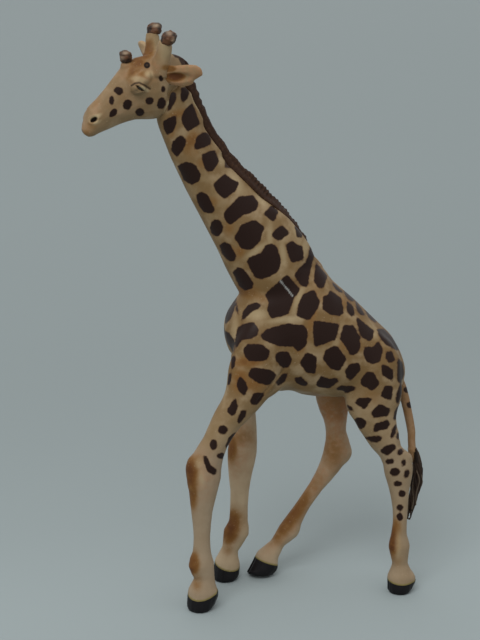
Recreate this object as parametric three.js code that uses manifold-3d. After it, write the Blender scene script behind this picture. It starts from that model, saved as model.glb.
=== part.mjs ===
// A walking giraffe figure, moulded in several pieces and painted by hand.
// Millimetres, +Z up. The figure faces -X, and its left side faces -Y.
import * as THREE from "three";
import { mergeVertices } from "three/addons/utils/BufferGeometryUtils.js";
import Module from "manifold-3d";

const wasm = await Module();
wasm.setup();

// Seats between the pieces
const seatGap = 0.3;
const pegTaperShare = 0.8;
const cutReach = 500;
const mergeStep = 0.001;

// Trunk
const trunkLength = 63;
const trunkDepth = 50;
const trunkWidth = 29;
const bellyHeight = 66.5;

// Neck
const neckLength = 77.5;
const neckLean = 28.9;
const neckBaseDepth = 26;
const neckBaseWidth = 21;
const neckOffset = 1.5;
const neckPegRadius = 4.5;
const neckPegLength = 8;
const skullPegRadius = 2.4;
const skullPegLength = 4;

// Head
const headLength = 29.8;
const headDepth = 19.3;
const headWidth = 12.2;
const headPitch = 21;
const headYaw = 10;
const headRoll = 7;
const browRadius = 3.6;
const nostrilRadius = 1.1;

// Horns on the head, with their knobs
const hornHeight = 7.4;
const hornRadius = 2;
const hornSpread = 10.6;
const hornKnobRadius = 2.3;
const browHornHeight = 3.8;
const browHornRadius = 1.8;
const browKnobRadius = 1.9;
const knobPegRadius = 0.9;
const knobPegLength = 1.4;

// Eyes, each behind a pair of lids with a slit between them
const eyeRadius = 1.6;
const lidThickness = 0.7;
const slitRadius = 1.5;

// Ears
const earLength = 11.8;
const earWidth = 7;
const earThickness = 2.6;
const leftEarSweep = 38;
const leftEarLift = -1;
const rightEarSweep = 1;
const rightEarLift = 22;

// Mane
const maneWidth = 3.4;
const maneHeight = 2.2;
const maneRoot = 1.6;
const maneTuftHeight = 0.45;
const maneTufts = 16;

// Front legs: the knee, how far each foot stands ahead as a share of the trunk, and how far aside
const kneeDepth = 11.4;
const kneeWidth = 9;
const leftFrontStrideShare = 0.3762;
const leftFrontTrack = 11.3;
const rightFrontStrideShare = 0.178;
const rightFrontTrack = 8.4;

// Hind legs: the hock, how far each foot stands ahead as a share of the trunk, and how far aside
const hockDepth = 9.6;
const hockWidth = 8.2;
const leftHindStrideShare = -0.2032;
const leftHindTrack = 12.8;
const rightHindStrideShare = 0.4945;
const rightHindTrack = 8.2;

// Pegs that hold the legs to the trunk
const legPegRadius = 2.3;
const legPegLength = 6;

// Hooves
const hoofLength = 9.5;
const hoofWidth = 8.8;
const hoofHeight = 4.2;
const hoofPegRadius = 1.5;
const hoofPegLength = 2.2;
const cleftWidth = 0.7;
const cleftDepth = 2.2;

// Tail and its tuft
const tailLength = 29;
const tailRadius = 1.55;
const tailOffset = 7;
const tuftLength = 28;
const tuftWidth = 5.2;
const tuftThickness = 4.2;
const tuftLocks = 6;
const tuftTwist = 110;
const tuftPegRadius = 0.7;
const tuftPegLength = 2.2;

// Facets
const trunkSides = 24;
const legSides = 14;
const neckSides = 20;
const headSides = 20;
const smallSides = 12;
const roundSides = 10;
const maneSides = 8;
const lockSides = 4;

const up = new THREE.Vector3(0, 0, 1);
const acrossFigure = new THREE.Vector3(0, 1, 0);
const alongFigure = new THREE.Vector3(1, 0, 0);
const { degToRad, lerp } = THREE.MathUtils;

// Turns a closed geometry into a solid that can be joined and cut.
function solidOf(geometry) {
  const bare = geometry.clone();
  bare.deleteAttribute("normal");
  bare.deleteAttribute("uv");
  const merged = mergeVertices(bare, mergeStep);
  return new wasm.Manifold(
    new wasm.Mesh({
      numProp: 3,
      vertProperties: merged.attributes.position.array,
      triVerts: new Uint32Array(merged.index.array),
    }),
  );
}

// Gives a solid back as a geometry.
function geometryOf(solid) {
  const mesh = solid.getMesh();
  return new THREE.BufferGeometry()
    .setAttribute("position", new THREE.BufferAttribute(mesh.vertProperties, mesh.numProp))
    .setIndex(new THREE.BufferAttribute(mesh.triVerts, 1));
}

function join(solids) {
  return solids.reduce((whole, solid) => whole.add(solid));
}

// Skins a body through oval stations. A station has its centre, its half width across, its half depth,
// and egg, the share by which its deep side is drawn in. facing holds every ring square to one line,
// ripple is a factor on the size that varies round and along, and grow makes the body larger all round.
function loft(stations, { sides, steps = 2, grow = 0, across = acrossFigure, facing, ripple = () => 1 }) {
  const centres = new THREE.CatmullRomCurve3(stations.map((s) => s.at));
  const sizes = new THREE.CatmullRomCurve3(
    stations.map((s) => new THREE.Vector3(s.wide, s.deep, s.egg ?? 0)),
  );
  const last = (stations.length - 1) * steps;
  const points = [];
  for (let ring = 0; ring <= last; ring++) {
    const share = ring / last;
    const at = centres.getPoint(share);
    const along = facing ?? centres.getTangent(share);
    const size = sizes.getPoint(share);
    const side = across.clone().addScaledVector(along, -across.dot(along)).normalize();
    const front = along.clone().cross(side);
    if (ring === 0) at.addScaledVector(along, -grow);
    if (ring === last) at.addScaledVector(along, grow);
    for (let k = 0; k < sides; k++) {
      const turn = (2 * Math.PI * k) / sides;
      const factor = ripple(turn, share);
      const wide = (size.x * factor + grow) * (1 - size.z * Math.sin(turn));
      const deep = size.y * factor + grow;
      points.push(
        at
          .clone()
          .addScaledVector(side, wide * Math.cos(turn))
          .addScaledVector(front, deep * Math.sin(turn)),
      );
    }
  }
  return solidOf(skinOf(points, sides));
}

// Closes rings of points into one skin, with a flat fan at each end.
function skinOf(points, sides) {
  const rings = points.length / sides;
  const faces = [];
  for (let ring = 0; ring < rings - 1; ring++) {
    for (let k = 0; k < sides; k++) {
      const here = ring * sides;
      const next = (k + 1) % sides;
      faces.push(here + k, here + next, here + sides + next);
      faces.push(here + k, here + sides + next, here + sides + k);
    }
  }
  const end = (rings - 1) * sides;
  const middle = (start) =>
    points
      .slice(start, start + sides)
      .reduce((sum, p) => sum.add(p), new THREE.Vector3())
      .divideScalar(sides);
  const ends = [middle(0), middle(end)];
  for (let k = 0; k < sides; k++) {
    const next = (k + 1) % sides;
    faces.push(points.length, next, k);
    faces.push(points.length + 1, end + k, end + next);
  }
  return new THREE.BufferGeometry().setFromPoints([...points, ...ends]).setIndex(faces);
}

// All that lies beyond the plane through point, on the side that normal points to.
function beyond(point, normal) {
  const block = new THREE.BoxGeometry(cutReach, cutReach, cutReach);
  block.translate(0, 0, cutReach / 2);
  block.applyQuaternion(new THREE.Quaternion().setFromUnitVectors(up, normal));
  block.translate(point.x, point.y, point.z);
  return solidOf(block);
}

// A round body turned from a profile of [radius, height], standing on point and pointing along direction.
function turned(profile, point, direction) {
  const shape = new THREE.LatheGeometry(
    profile.map(([radius, height]) => new THREE.Vector2(radius, height)),
    roundSides,
  );
  const spin = new THREE.Quaternion().setFromUnitVectors(acrossFigure, direction);
  shape.applyQuaternion(spin);
  shape.translate(point.x, point.y, point.z);
  return solidOf(shape);
}

// A tapered peg that goes as far back into the piece that carries it as it stands out.
function peg(point, direction, radius, length, grow = 0) {
  const tip = radius * pegTaperShare + grow;
  return turned(
    [
      [0, -length],
      [radius + grow, -length],
      [tip, length + grow],
      [0, length + grow],
    ],
    point,
    direction,
  );
}

// A ball, or an oval one with its half sizes as shares of its radius.
function ball(centre, radius, shares = [1, 1, 1]) {
  const shape = new THREE.SphereGeometry(radius, roundSides, roundSides / 2);
  shape.scale(...shares);
  shape.translate(centre.x, centre.y, centre.z);
  return solidOf(shape);
}

// Trunk: places along it are shares of its length from the chest, heights shares of its depth from the
// belly. Columns: along, centre height, half depth, half width, egg.
const trunkShares = [
  [0.033, 0.5, 0.04, 0.1, 0],
  [0.052, 0.5, 0.13, 0.26, 0],
  [0.115, 0.515, 0.235, 0.35, 0.02],
  [0.19, 0.52, 0.38, 0.42, 0.06],
  [0.32, 0.53, 0.455, 0.46, 0.12],
  [0.46, 0.51, 0.47, 0.49, 0.14],
  [0.59, 0.415, 0.395, 0.5, 0.12],
  [0.715, 0.34, 0.325, 0.49, 0.1],
  [0.825, 0.265, 0.258, 0.45, 0.08],
  [0.905, 0.215, 0.208, 0.38, 0.05],
  [0.955, 0.185, 0.125, 0.26, 0],
  [0.98, 0.175, 0.045, 0.12, 0],
];

// A place in the trunk from its shares: along, height and, where it lies aside, across.
function trunkPlace([along, height, across = 0]) {
  return new THREE.Vector3(
    along * trunkLength,
    across * trunkWidth,
    bellyHeight + height * trunkDepth,
  );
}

const trunkStations = trunkShares.map(([along, height, deep, wide, egg]) => ({
  at: trunkPlace([along, height]),
  wide: wide * trunkWidth,
  deep: deep * trunkDepth,
  egg,
}));

// Neck: columns are the share of its length, the bow towards the throat and the sway to the left, as
// shares of its length, and the half depth and half width as shares of the base's depth and width.
const neckRootShare = [0.365, 0.71];
const neckShares = [
  [0, 0, 0, 0.465, 0.46],
  [0.15, 0.01, 0, 0.487, 0.48],
  [0.35, 0.014, 0.1, 0.435, 0.42],
  [0.63, 0.046, 0.4, 0.305, 0.31],
  [0.9, 0.037, 0.85, 0.24, 0.25],
  [1, 0.012, 1, 0.225, 0.235],
  [1.06, 0, 1, 0.18, 0.18],
];
const neckSeamShare = 0.16;

const neckRoot = trunkPlace(neckRootShare);
const neckAlong = new THREE.Vector3(
  -Math.sin(degToRad(neckLean)),
  0,
  Math.cos(degToRad(neckLean)),
);
const neckFront = neckAlong.clone().cross(acrossFigure);

function neckPlace(along, bow, sway) {
  return neckRoot
    .clone()
    .addScaledVector(neckAlong, along * neckLength)
    .addScaledVector(neckFront, bow * neckLength)
    .addScaledVector(acrossFigure, -sway * neckOffset);
}

const neckStations = neckShares.map(([along, bow, sway, deep, wide]) => ({
  at: neckPlace(along, bow, sway),
  deep: deep * neckBaseDepth,
  wide: wide * neckBaseWidth,
}));
const neckSeam = neckPlace(neckSeamShare, 0, 0);
const headJoint = neckPlace(1, 0, 1);

// The head's own frame has its origin where the neck meets the skull, -X towards the nose and +Z
// towards the horns.
const headTurn = new THREE.Euler(
  degToRad(headRoll),
  -degToRad(headPitch),
  degToRad(headYaw),
  "ZYX",
);
const headMatrix = new THREE.Matrix4().makeRotationFromEuler(headTurn).setPosition(headJoint);

// A place in the head from its shares: forward of the joint in head lengths, above it in head depths,
// and to the left in head widths.
function headPlace([forward, height, left = 0]) {
  return new THREE.Vector3(-forward * headLength, -left * headWidth, height * headDepth);
}

// Skull and face: columns are forward, centre height, half depth, half width and egg.
const skullShares = [
  [1.02, 0.035, 0.04, 0.1, 0],
  [0.99, 0.04, 0.11, 0.2, 0],
  [0.94, 0.08, 0.17, 0.27, 0],
  [0.88, 0.135, 0.22, 0.3, 0],
  [0.78, 0.163, 0.258, 0.29, 0],
  [0.64, 0.215, 0.318, 0.29, 0.05],
  [0.48, 0.265, 0.405, 0.38, 0.02],
  [0.36, 0.265, 0.49, 0.47, 0],
  [0.24, 0.242, 0.528, 0.5, 0],
  [0.12, 0.2475, 0.4825, 0.47, 0],
  [0.01, 0.325, 0.395, 0.42, 0],
  [-0.1, 0.36, 0.262, 0.33, 0],
  [-0.2, 0.37, 0.2, 0.2, 0],
];

function skull(grow = 0) {
  const stations = skullShares.map(([forward, height, deep, wide, egg]) => ({
    at: headPlace([forward, height]),
    deep: deep * headDepth,
    wide: wide * headWidth,
    egg,
  }));
  return loft(stations, { sides: headSides, grow, facing: alongFigure });
}

// The two horns lean back from the crown, and the third stands on the brow.
const hornFootShare = [0.1, 0.466];
const hornFootSpreadShare = 0.5;
const hornLeanShare = 0.6;
const browHornFootShare = [0.38, 0.575];
const browHornLeanShare = -0.22;
const hornRadiusShares = [1.9, 1.5, 1.12, 0.97];

function hornLine(side) {
  const foot = headPlace(hornFootShare);
  foot.y = (side * hornSpread * hornFootSpreadShare) / 2;
  const tip = foot
    .clone()
    .add(new THREE.Vector3(hornHeight * hornLeanShare, 0, hornHeight));
  tip.y = (side * hornSpread) / 2;
  return { foot, tip, radius: hornRadius };
}

function browHornLine() {
  const foot = headPlace(browHornFootShare);
  const tip = foot
    .clone()
    .add(new THREE.Vector3(-browHornHeight * browHornLeanShare, 0, browHornHeight));
  return { foot, tip, radius: browHornRadius };
}

function hornSolid({ foot, tip, radius }) {
  const last = hornRadiusShares.length - 1;
  const stations = hornRadiusShares.map((share, i) => ({
    at: foot.clone().lerp(tip, i / last),
    wide: radius * share,
    deep: radius * share,
  }));
  return loft(stations, { sides: smallSides });
}

// A knob's profile, as shares of its radius, from its flat seat to its crown.
const knobShares = [
  [0, 0],
  [0.82, 0],
  [0.98, 0.45],
  [1, 0.9],
  [0.86, 1.35],
  [0.5, 1.66],
  [0, 1.75],
];

function knobParts({ foot, tip }, knobRadius) {
  const along = tip.clone().sub(foot).normalize();
  const seat = tip.clone().addScaledVector(along, seatGap);
  const profile = knobShares.map(([radius, height]) => [radius * knobRadius, height * knobRadius]);
  const stem = (grow) => peg(tip, along, knobPegRadius, knobPegLength, grow);
  return { stem: stem(0), knob: turned(profile, seat, along).subtract(stem(seatGap)) };
}

// Eyes sit in sockets behind the lids, under a brow. Half sizes are shares along, across and up.
const eyeShare = [0.37, 0.42, 0.4];
const browShare = [0.3, 0.5, 0.3];
const browShapeShares = [1.15, 0.75, 0.7];
const slitShare = [0.385, 0.41, 0.6];
const slitShapeShares = [1.1, 1.4, 0.42];

// A place in the head, on its left side or mirrored to its right.
function sidePlace(share, side) {
  const at = headPlace(share);
  at.y *= -side;
  return at;
}

const brow = (side) => ball(sidePlace(browShare, side), browRadius, browShapeShares);
const eye = (side, grow = 0) => ball(sidePlace(eyeShare, side), eyeRadius + grow);
const lids = (side) => eye(side, seatGap + lidThickness);
const slit = (side) => ball(sidePlace(slitShare, side), slitRadius, slitShapeShares);

// Nostrils are oval hollows high on the muzzle.
const nostrilShare = [0.9, 0.2, 0.27];
const nostrilShapeShares = [1.2, 0.8, 0.55];

const nostril = (side) => ball(sidePlace(nostrilShare, side), nostrilRadius, nostrilShapeShares);

// Ears: columns are the share of the length, half width and half thickness as shares.
const earShares = [
  [-0.16, 0.2, 0.3],
  [0, 0.3, 0.42],
  [0.2, 0.43, 0.5],
  [0.45, 0.5, 0.46],
  [0.7, 0.46, 0.36],
  [0.9, 0.35, 0.24],
  [1, 0.18, 0.12],
];
const earFootShare = [0.035, 0.36, 0.36];
const earBowlShares = [0.4, 0.36, 0.46];
const earBowlPlaceShare = 0.5;

function earFrame(side, sweep, lift) {
  const foot = sidePlace(earFootShare, side);
  const sweepTurn = degToRad(sweep);
  const liftTurn = degToRad(lift);
  const along = new THREE.Vector3(
    Math.sin(sweepTurn) * Math.cos(liftTurn),
    side * Math.cos(sweepTurn) * Math.cos(liftTurn),
    Math.sin(liftTurn),
  );
  const broad = up.clone().addScaledVector(along, -up.dot(along)).normalize();
  const face = along.clone().cross(broad).multiplyScalar(side);
  return { foot, along, broad, face };
}

function ear({ foot, along, broad, face }, grow = 0) {
  const stations = earShares.map(([share, wide, thick]) => ({
    at: foot.clone().addScaledVector(along, share * earLength),
    wide: wide * earWidth,
    deep: thick * earThickness,
  }));
  const leaf = loft(stations, { sides: smallSides, grow, across: broad });
  if (grow > 0) return leaf;
  const [reach, half, rise] = earBowlShares;
  const bowl = new THREE.SphereGeometry(1, roundSides, roundSides / 2);
  bowl.scale(reach * earLength, half * earWidth, rise * earThickness);
  const place = foot
    .clone()
    .addScaledVector(along, earBowlPlaceShare * earLength)
    .addScaledVector(face, rise * earThickness);
  bowl.applyMatrix4(new THREE.Matrix4().makeBasis(along, broad, along.clone().cross(broad)));
  bowl.translate(place.x, place.y, place.z);
  return leaf.subtract(solidOf(bowl));
}

// Legs run from deep in the trunk to the coronet. Columns: height as a share of the root's height,
// reach from the foot towards the root, and the half depth and half width as shares of the joint's.
const leftFrontShares = [
  [0.037, 0.009, 0.43, 0.48],
  [0.066, 0.022, 0.42, 0.46],
  [0.112, 0.05, 0.3, 0.33],
  [0.16, 0.009, 0.38, 0.37],
  [0.205, 0.017, 0.27, 0.3],
  [0.259, 0.022, 0.24, 0.27],
  [0.35, 0.035, 0.29, 0.32],
  [0.422, 0.055, 0.4, 0.42],
  [0.474, 0.058, 0.5, 0.48],
  [0.52, 0.09, 0.47, 0.47],
  [0.592, 0.225, 0.37, 0.43],
  [0.663, 0.385, 0.43, 0.48],
  [0.73, 0.58, 0.58, 0.55],
  [0.816, 0.76, 0.77, 0.63],
  [0.918, 0.892, 0.8, 0.62],
  [1, 1, 0.5, 0.33],
];
const rightFrontShares = [
  [0.037, 0.02, 0.4, 0.45],
  [0.066, 0.035, 0.38, 0.43],
  [0.112, 0.125, 0.25, 0.3],
  [0.174, 0.345, 0.36, 0.38],
  [0.215, 0.4, 0.27, 0.3],
  [0.27, 0.42, 0.25, 0.28],
  [0.327, 0.44, 0.265, 0.3],
  [0.398, 0.45, 0.36, 0.38],
  [0.471, 0.5, 0.44, 0.47],
  [0.551, 0.55, 0.39, 0.44],
  [0.641, 0.51, 0.38, 0.48],
  [0.73, 0.56, 0.45, 0.55],
  [0.816, 0.72, 0.54, 0.62],
  [0.918, 0.9, 0.67, 0.62],
  [1, 1, 0.5, 0.33],
];
const leftHindShares = [
  [0.04, 0.007, 0.48, 0.53],
  [0.064, 0.029, 0.47, 0.51],
  [0.111, 0.045, 0.27, 0.34],
  [0.179, 0.075, 0.38, 0.4],
  [0.225, 0.085, 0.28, 0.31],
  [0.272, 0.065, 0.25, 0.29],
  [0.333, 0.065, 0.27, 0.32],
  [0.417, 0.105, 0.37, 0.37],
  [0.483, 0.19, 0.45, 0.44],
  [0.556, 0.35, 0.51, 0.49],
  [0.628, 0.6, 0.58, 0.54],
  [0.711, 0.8, 0.77, 0.63],
  [0.8, 0.8, 0.92, 0.73],
  [0.9, 0.85, 0.98, 0.76],
  [1, 1, 0.45, 0.3],
];
const rightHindShares = [
  [0.042, 0.04, 0.45, 0.5],
  [0.073, 0.075, 0.42, 0.48],
  [0.121, 0.18, 0.26, 0.33],
  [0.176, 0.3, 0.35, 0.39],
  [0.229, 0.39, 0.29, 0.34],
  [0.284, 0.487, 0.245, 0.29],
  [0.351, 0.62, 0.26, 0.3],
  [0.429, 0.77, 0.39, 0.4],
  [0.498, 0.845, 0.465, 0.48],
  [0.569, 0.83, 0.36, 0.43],
  [0.622, 0.82, 0.43, 0.48],
  [0.689, 0.8, 0.62, 0.56],
  [0.778, 0.84, 0.92, 0.68],
  [0.889, 0.93, 0.95, 0.75],
  [1, 1, 0.45, 0.3],
];
const frontRootShare = [0.238, 0.63, 0.31];
const hindRootShare = [0.746, 0.47, 0.276];
const frontSeamShare = 0.775;
const hindSeamShare = 0.745;

const frontJoint = { root: frontRootShare, seam: frontSeamShare, depth: kneeDepth, width: kneeWidth };
const hindJoint = { root: hindRootShare, seam: hindSeamShare, depth: hockDepth, width: hockWidth };

const legs = [
  {
    ...frontJoint,
    name: "front_left",
    side: -1,
    shares: leftFrontShares,
    stride: leftFrontStrideShare,
    track: leftFrontTrack,
  },
  {
    ...frontJoint,
    name: "front_right",
    side: 1,
    shares: rightFrontShares,
    stride: rightFrontStrideShare,
    track: rightFrontTrack,
  },
  {
    ...hindJoint,
    name: "rear_left",
    side: -1,
    shares: leftHindShares,
    stride: leftHindStrideShare,
    track: leftHindTrack,
  },
  {
    ...hindJoint,
    name: "rear_right",
    side: 1,
    shares: rightHindShares,
    stride: rightHindStrideShare,
    track: rightHindTrack,
  },
];

for (const leg of legs) {
  const [along, height, across] = leg.root;
  leg.top = trunkPlace([along, height, leg.side * across]);
  const stride = leg.stride * trunkLength;
  leg.foot = new THREE.Vector3(leg.top.x - stride, leg.side * leg.track, 0);
  leg.stations = leg.shares.map(([rise, reach, deep, wide]) => ({
    at: new THREE.Vector3(
      leg.foot.x + reach * stride,
      leg.foot.y + rise * (leg.top.y - leg.foot.y),
      rise * leg.top.z,
    ),
    deep: deep * leg.depth,
    wide: wide * leg.width,
  }));
  const line = new THREE.CatmullRomCurve3(leg.stations.map((s) => s.at));
  leg.seamPoint = line.getPoint(leg.seam);
  leg.seamAlong = line.getTangent(leg.seam);
}

function wholeLeg(leg, grow = 0) {
  return loft(leg.stations, { sides: legSides, grow });
}

function legPeg(leg, grow = 0) {
  return peg(leg.seamPoint, leg.seamAlong, legPegRadius, legPegLength, grow);
}

// The space that a leg and its peg take up in the trunk, with the seat's gap all round.
function legRoom(leg) {
  const start = leg.seamPoint.clone().addScaledVector(leg.seamAlong, seatGap);
  const below = beyond(start, leg.seamAlong.clone().negate());
  return wholeLeg(leg, seatGap).intersect(below).add(legPeg(leg, seatGap));
}

// Hooves: a cloven oval with a flat sole, held by a peg that stands down from the leg. Columns are the
// rise, how far it is set towards the toe, and the half depth and half width, as shares.
const hoofShares = [
  [0, 0.05, 0.41, 0.43],
  [0.14, 0.035, 0.46, 0.48],
  [0.55, 0, 0.5, 0.5],
  [1, 0, 0.47, 0.47],
];

function hoofPeg(leg, grow = 0) {
  const start = new THREE.Vector3(leg.foot.x, leg.foot.y, hoofHeight + seatGap);
  return peg(start, up.clone().negate(), hoofPegRadius, hoofPegLength, grow);
}

function hoof(leg) {
  const stations = hoofShares.map(([rise, toe, deep, wide]) => ({
    at: new THREE.Vector3(leg.foot.x - toe * hoofLength, leg.foot.y, rise * hoofHeight),
    deep: deep * hoofLength,
    wide: wide * hoofWidth,
  }));
  const cleft = new THREE.BoxGeometry(2 * cleftDepth, cleftWidth, 2 * hoofHeight);
  cleft.translate(leg.foot.x - hoofLength / 2, leg.foot.y, 0);
  return loft(stations, { sides: legSides, facing: up })
    .subtract(solidOf(cleft))
    .subtract(hoofPeg(leg, seatGap));
}

function lowerLeg(leg) {
  const shank = wholeLeg(leg).intersect(beyond(leg.seamPoint, leg.seamAlong.clone().negate()));
  const sole = new THREE.Vector3(leg.foot.x, leg.foot.y, hoofHeight + seatGap);
  return shank.intersect(beyond(sole, up)).add(legPeg(leg)).add(hoofPeg(leg));
}

// Tail: columns are the share of its length, the set back and the sway, and the radius as shares. It
// ends in a peg that holds the tuft.
const tailRootShare = [0.93, 0.2];
const tailShares = [
  [-0.1, -0.16, 0, 1.4],
  [0.08, 0, 0.02, 1.35],
  [0.3, 0.11, 0.1, 1.1],
  [0.55, 0.165, 0.35, 0.95],
  [0.8, 0.2, 0.65, 0.9],
  [1, 0.21, 0.85, 0.9],
  [1.1, 0.215, 0.9, 0.8],
];
const tailEndShare = [1, 0.21, 0.85];

function tailPlace(fall, back, sway) {
  return trunkPlace(tailRootShare).add(
    new THREE.Vector3(back * tailLength, -sway * tailOffset, -fall * tailLength),
  );
}

const tailEnd = tailPlace(...tailEndShare);

function tail(grow = 0) {
  const stations = tailShares.map(([fall, back, sway, radius]) => ({
    at: tailPlace(fall, back, sway),
    deep: radius * tailRadius,
    wide: radius * tailRadius,
  }));
  return loft(stations, { sides: smallSides, grow }).intersect(beyond(tailEnd, up));
}

const tuftPeg = (grow = 0) => peg(tailEnd, up.clone().negate(), tuftPegRadius, tuftPegLength, grow);

// Tuft: twisted locks of hair that hang down from the tail's end. Columns are the share of its length,
// the set back as a share of it, and the half thickness and half width as shares.
const tuftShares = [
  [0, 0, 0.33, 0.36],
  [0.12, 0.01, 0.42, 0.42],
  [0.3, 0.015, 0.5, 0.48],
  [0.5, -0.005, 0.48, 0.5],
  [0.7, -0.05, 0.4, 0.42],
  [0.88, -0.1, 0.28, 0.3],
  [1, -0.14, 0.1, 0.12],
];
const lockDepthShare = 0.1;

function tuft() {
  const stations = tuftShares.map(([fall, back, deep, wide]) => ({
    at: tailEnd
      .clone()
      .add(new THREE.Vector3(back * tuftLength, 0, -fall * tuftLength - seatGap)),
    deep: deep * tuftWidth,
    wide: wide * tuftThickness,
  }));
  const twist = degToRad(tuftTwist);
  return loft(stations, {
    sides: tuftLocks * lockSides,
    facing: up.clone().negate(),
    ripple: (turn, share) => 1 + lockDepthShare * Math.cos(tuftLocks * (turn + twist * share)),
  });
}

// Mane: a notched crest along the back of the neck, on a root that sits in a groove. The shares of its
// height are spaced evenly over its span.
const maneSpanShares = [0.06, 0.98];
const maneCrestShares = [0.3, 0.95, 1, 1, 0.95, 1.1, 0.95, 0.3];

function mane(grow = 0) {
  const centres = new THREE.CatmullRomCurve3(neckStations.map((s) => s.at));
  const depths = new THREE.CatmullRomCurve3(neckStations.map((s) => new THREE.Vector3(s.deep)));
  const crest = new THREE.CatmullRomCurve3(
    maneCrestShares.map((share) => new THREE.Vector3(share * maneHeight)),
  );
  const last = 2 * maneTufts;
  const stations = [];
  for (let ring = 0; ring <= last; ring++) {
    const share = lerp(...maneSpanShares, ring / last);
    const back = acrossFigure.clone().cross(centres.getTangent(share));
    const low = depths.getPoint(share).x - maneRoot;
    const high = depths.getPoint(share).x + crest.getPoint(ring / last).x + (ring % 2) * maneTuftHeight;
    stations.push({
      at: centres.getPoint(share).addScaledVector(back, (low + high) / 2),
      deep: (high - low) / 2,
      wide: maneWidth / 2,
    });
  }
  return loft(stations, { sides: maneSides, steps: 1, grow });
}

// Pieces
const plastic = { metalness: 0 };
const coat = new THREE.MeshStandardMaterial({ color: 0xc9a57a, roughness: 0.5, ...plastic });
const hair = new THREE.MeshStandardMaterial({ color: 0x3a2420, roughness: 0.6, ...plastic });
const horn = new THREE.MeshStandardMaterial({ color: 0x5f3b2a, roughness: 0.5, ...plastic });
const nail = new THREE.MeshStandardMaterial({ color: 0x141416, roughness: 0.3, ...plastic });
const gloss = new THREE.MeshStandardMaterial({ color: 0x120e0d, roughness: 0.15, ...plastic });

const figure = new THREE.Group();

// Adds a solid, given in the figure's frame, to a group that has its own place and turn.
function addPiece(group, name, solid, material) {
  group.updateMatrixWorld(true);
  const geometry = geometryOf(solid).applyMatrix4(group.matrixWorld.clone().invert());
  const mesh = new THREE.Mesh(geometry, material);
  mesh.name = name;
  group.add(mesh);
}

function groupAt(parent, place) {
  const group = new THREE.Group();
  group.position.copy(place);
  parent.add(group);
  return group;
}

// Head and what it carries, in the head's frame.
const horns = [hornLine(-1), hornLine(1), browHornLine()];
const knobs = [
  knobParts(horns[0], hornKnobRadius),
  knobParts(horns[1], hornKnobRadius),
  knobParts(horns[2], browKnobRadius),
];
const ears = [
  earFrame(-1, leftEarSweep, leftEarLift),
  earFrame(1, rightEarSweep, rightEarLift),
];
const toFigure = (solid) => solidOf(geometryOf(solid).applyMatrix4(headMatrix));
const bothSides = (make) => join([-1, 1].map(make));

const skullPeg = (grow) => peg(headJoint, neckAlong, skullPegRadius, skullPegLength, grow);
const maneRoom = mane(seatGap);

const headOuter = join([
  skull(),
  bothSides(brow),
  bothSides(lids),
  ...horns.map(hornSolid),
  ...knobs.map((k) => k.stem),
]);
const headHollows = join([
  bothSides((side) => eye(side, seatGap)),
  bothSides(slit),
  bothSides(nostril),
  ...ears.map((frame) => ear(frame, seatGap)),
]);
const headSolid = toFigure(headOuter.subtract(headHollows))
  .subtract(skullPeg(seatGap))
  .subtract(maneRoom);

const headGroup = groupAt(figure, headJoint);
headGroup.rotation.copy(headTurn);
addPiece(headGroup, "head", headSolid, coat);
addPiece(headGroup, "ear_left", toFigure(ear(ears[0])), coat);
addPiece(headGroup, "ear_right", toFigure(ear(ears[1])), coat);
addPiece(headGroup, "ossicone_cap_left", toFigure(knobs[0].knob), horn);
addPiece(headGroup, "ossicone_cap_right", toFigure(knobs[1].knob), horn);
addPiece(headGroup, "ossicone_cap_front", toFigure(knobs[2].knob), horn);
addPiece(headGroup, "eye_left", toFigure(eye(-1)), gloss);
addPiece(headGroup, "eye_right", toFigure(eye(1)), gloss);

// Neck
const neckWhole = (grow) => loft(neckStations, { sides: neckSides, grow });
const neckPeg = (grow) => peg(neckSeam, neckAlong.clone().negate(), neckPegRadius, neckPegLength, grow);
const neckStart = neckSeam.clone().addScaledVector(neckAlong, -seatGap);
const neckRoom = neckWhole(seatGap).intersect(beyond(neckStart, neckAlong)).add(neckPeg(seatGap));
const headRoom = toFigure(skull(seatGap));
const neckSolid = neckWhole(0)
  .intersect(beyond(neckSeam, neckAlong))
  .subtract(headRoom)
  .add(neckPeg(0))
  .add(skullPeg(0))
  .subtract(maneRoom);
const neckGroup = groupAt(figure, neckSeam);
addPiece(neckGroup, "neck", neckSolid, coat);
addPiece(neckGroup, "mane", mane(), hair);

// Trunk
const trunkSolid = join([
  loft(trunkStations, { sides: trunkSides, facing: alongFigure }),
  neckWhole(0),
  ...legs.map((leg) => wholeLeg(leg)),
])
  .subtract(join([neckRoom, ...legs.map(legRoom)]))
  .subtract(tail(seatGap))
  .subtract(maneRoom);
addPiece(figure, "torso", trunkSolid, coat);

// Legs with their hooves
for (const leg of legs) {
  const group = groupAt(figure, leg.seamPoint);
  addPiece(group, `${leg.name}_leg`, lowerLeg(leg), coat);
  addPiece(group, `hoof_${leg.name}`, hoof(leg), nail);
}

// Tail
const tailGroup = groupAt(figure, trunkPlace(tailRootShare));
const tuftRoom = tuftPeg(seatGap).add(wholeLeg(legs[2], seatGap));
addPiece(tailGroup, "tail", tail().add(tuftPeg()), coat);
addPiece(tailGroup, "tail_tuft", tuft().subtract(tuftRoom), hair);

// The origin is the middle of the figure's box on the ground.
const box = new THREE.Box3().setFromObject(figure, true);
const middle = box.getCenter(new THREE.Vector3());
figure.position.set(-middle.x, -middle.y, -box.min.z);

export default figure;
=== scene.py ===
"""Looks for a walking giraffe figure: one moulded skin with painted patches, hair, hooves and eyes.

Lengths are in millimetres until a mesh is made. Places marked px are pixels of the 480 x 640 picture.
"""

import math

import bmesh
import bpy
import numpy as np
from mathutils import Matrix, Vector, noise
from mathutils.bvhtree import BVHTree


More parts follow.
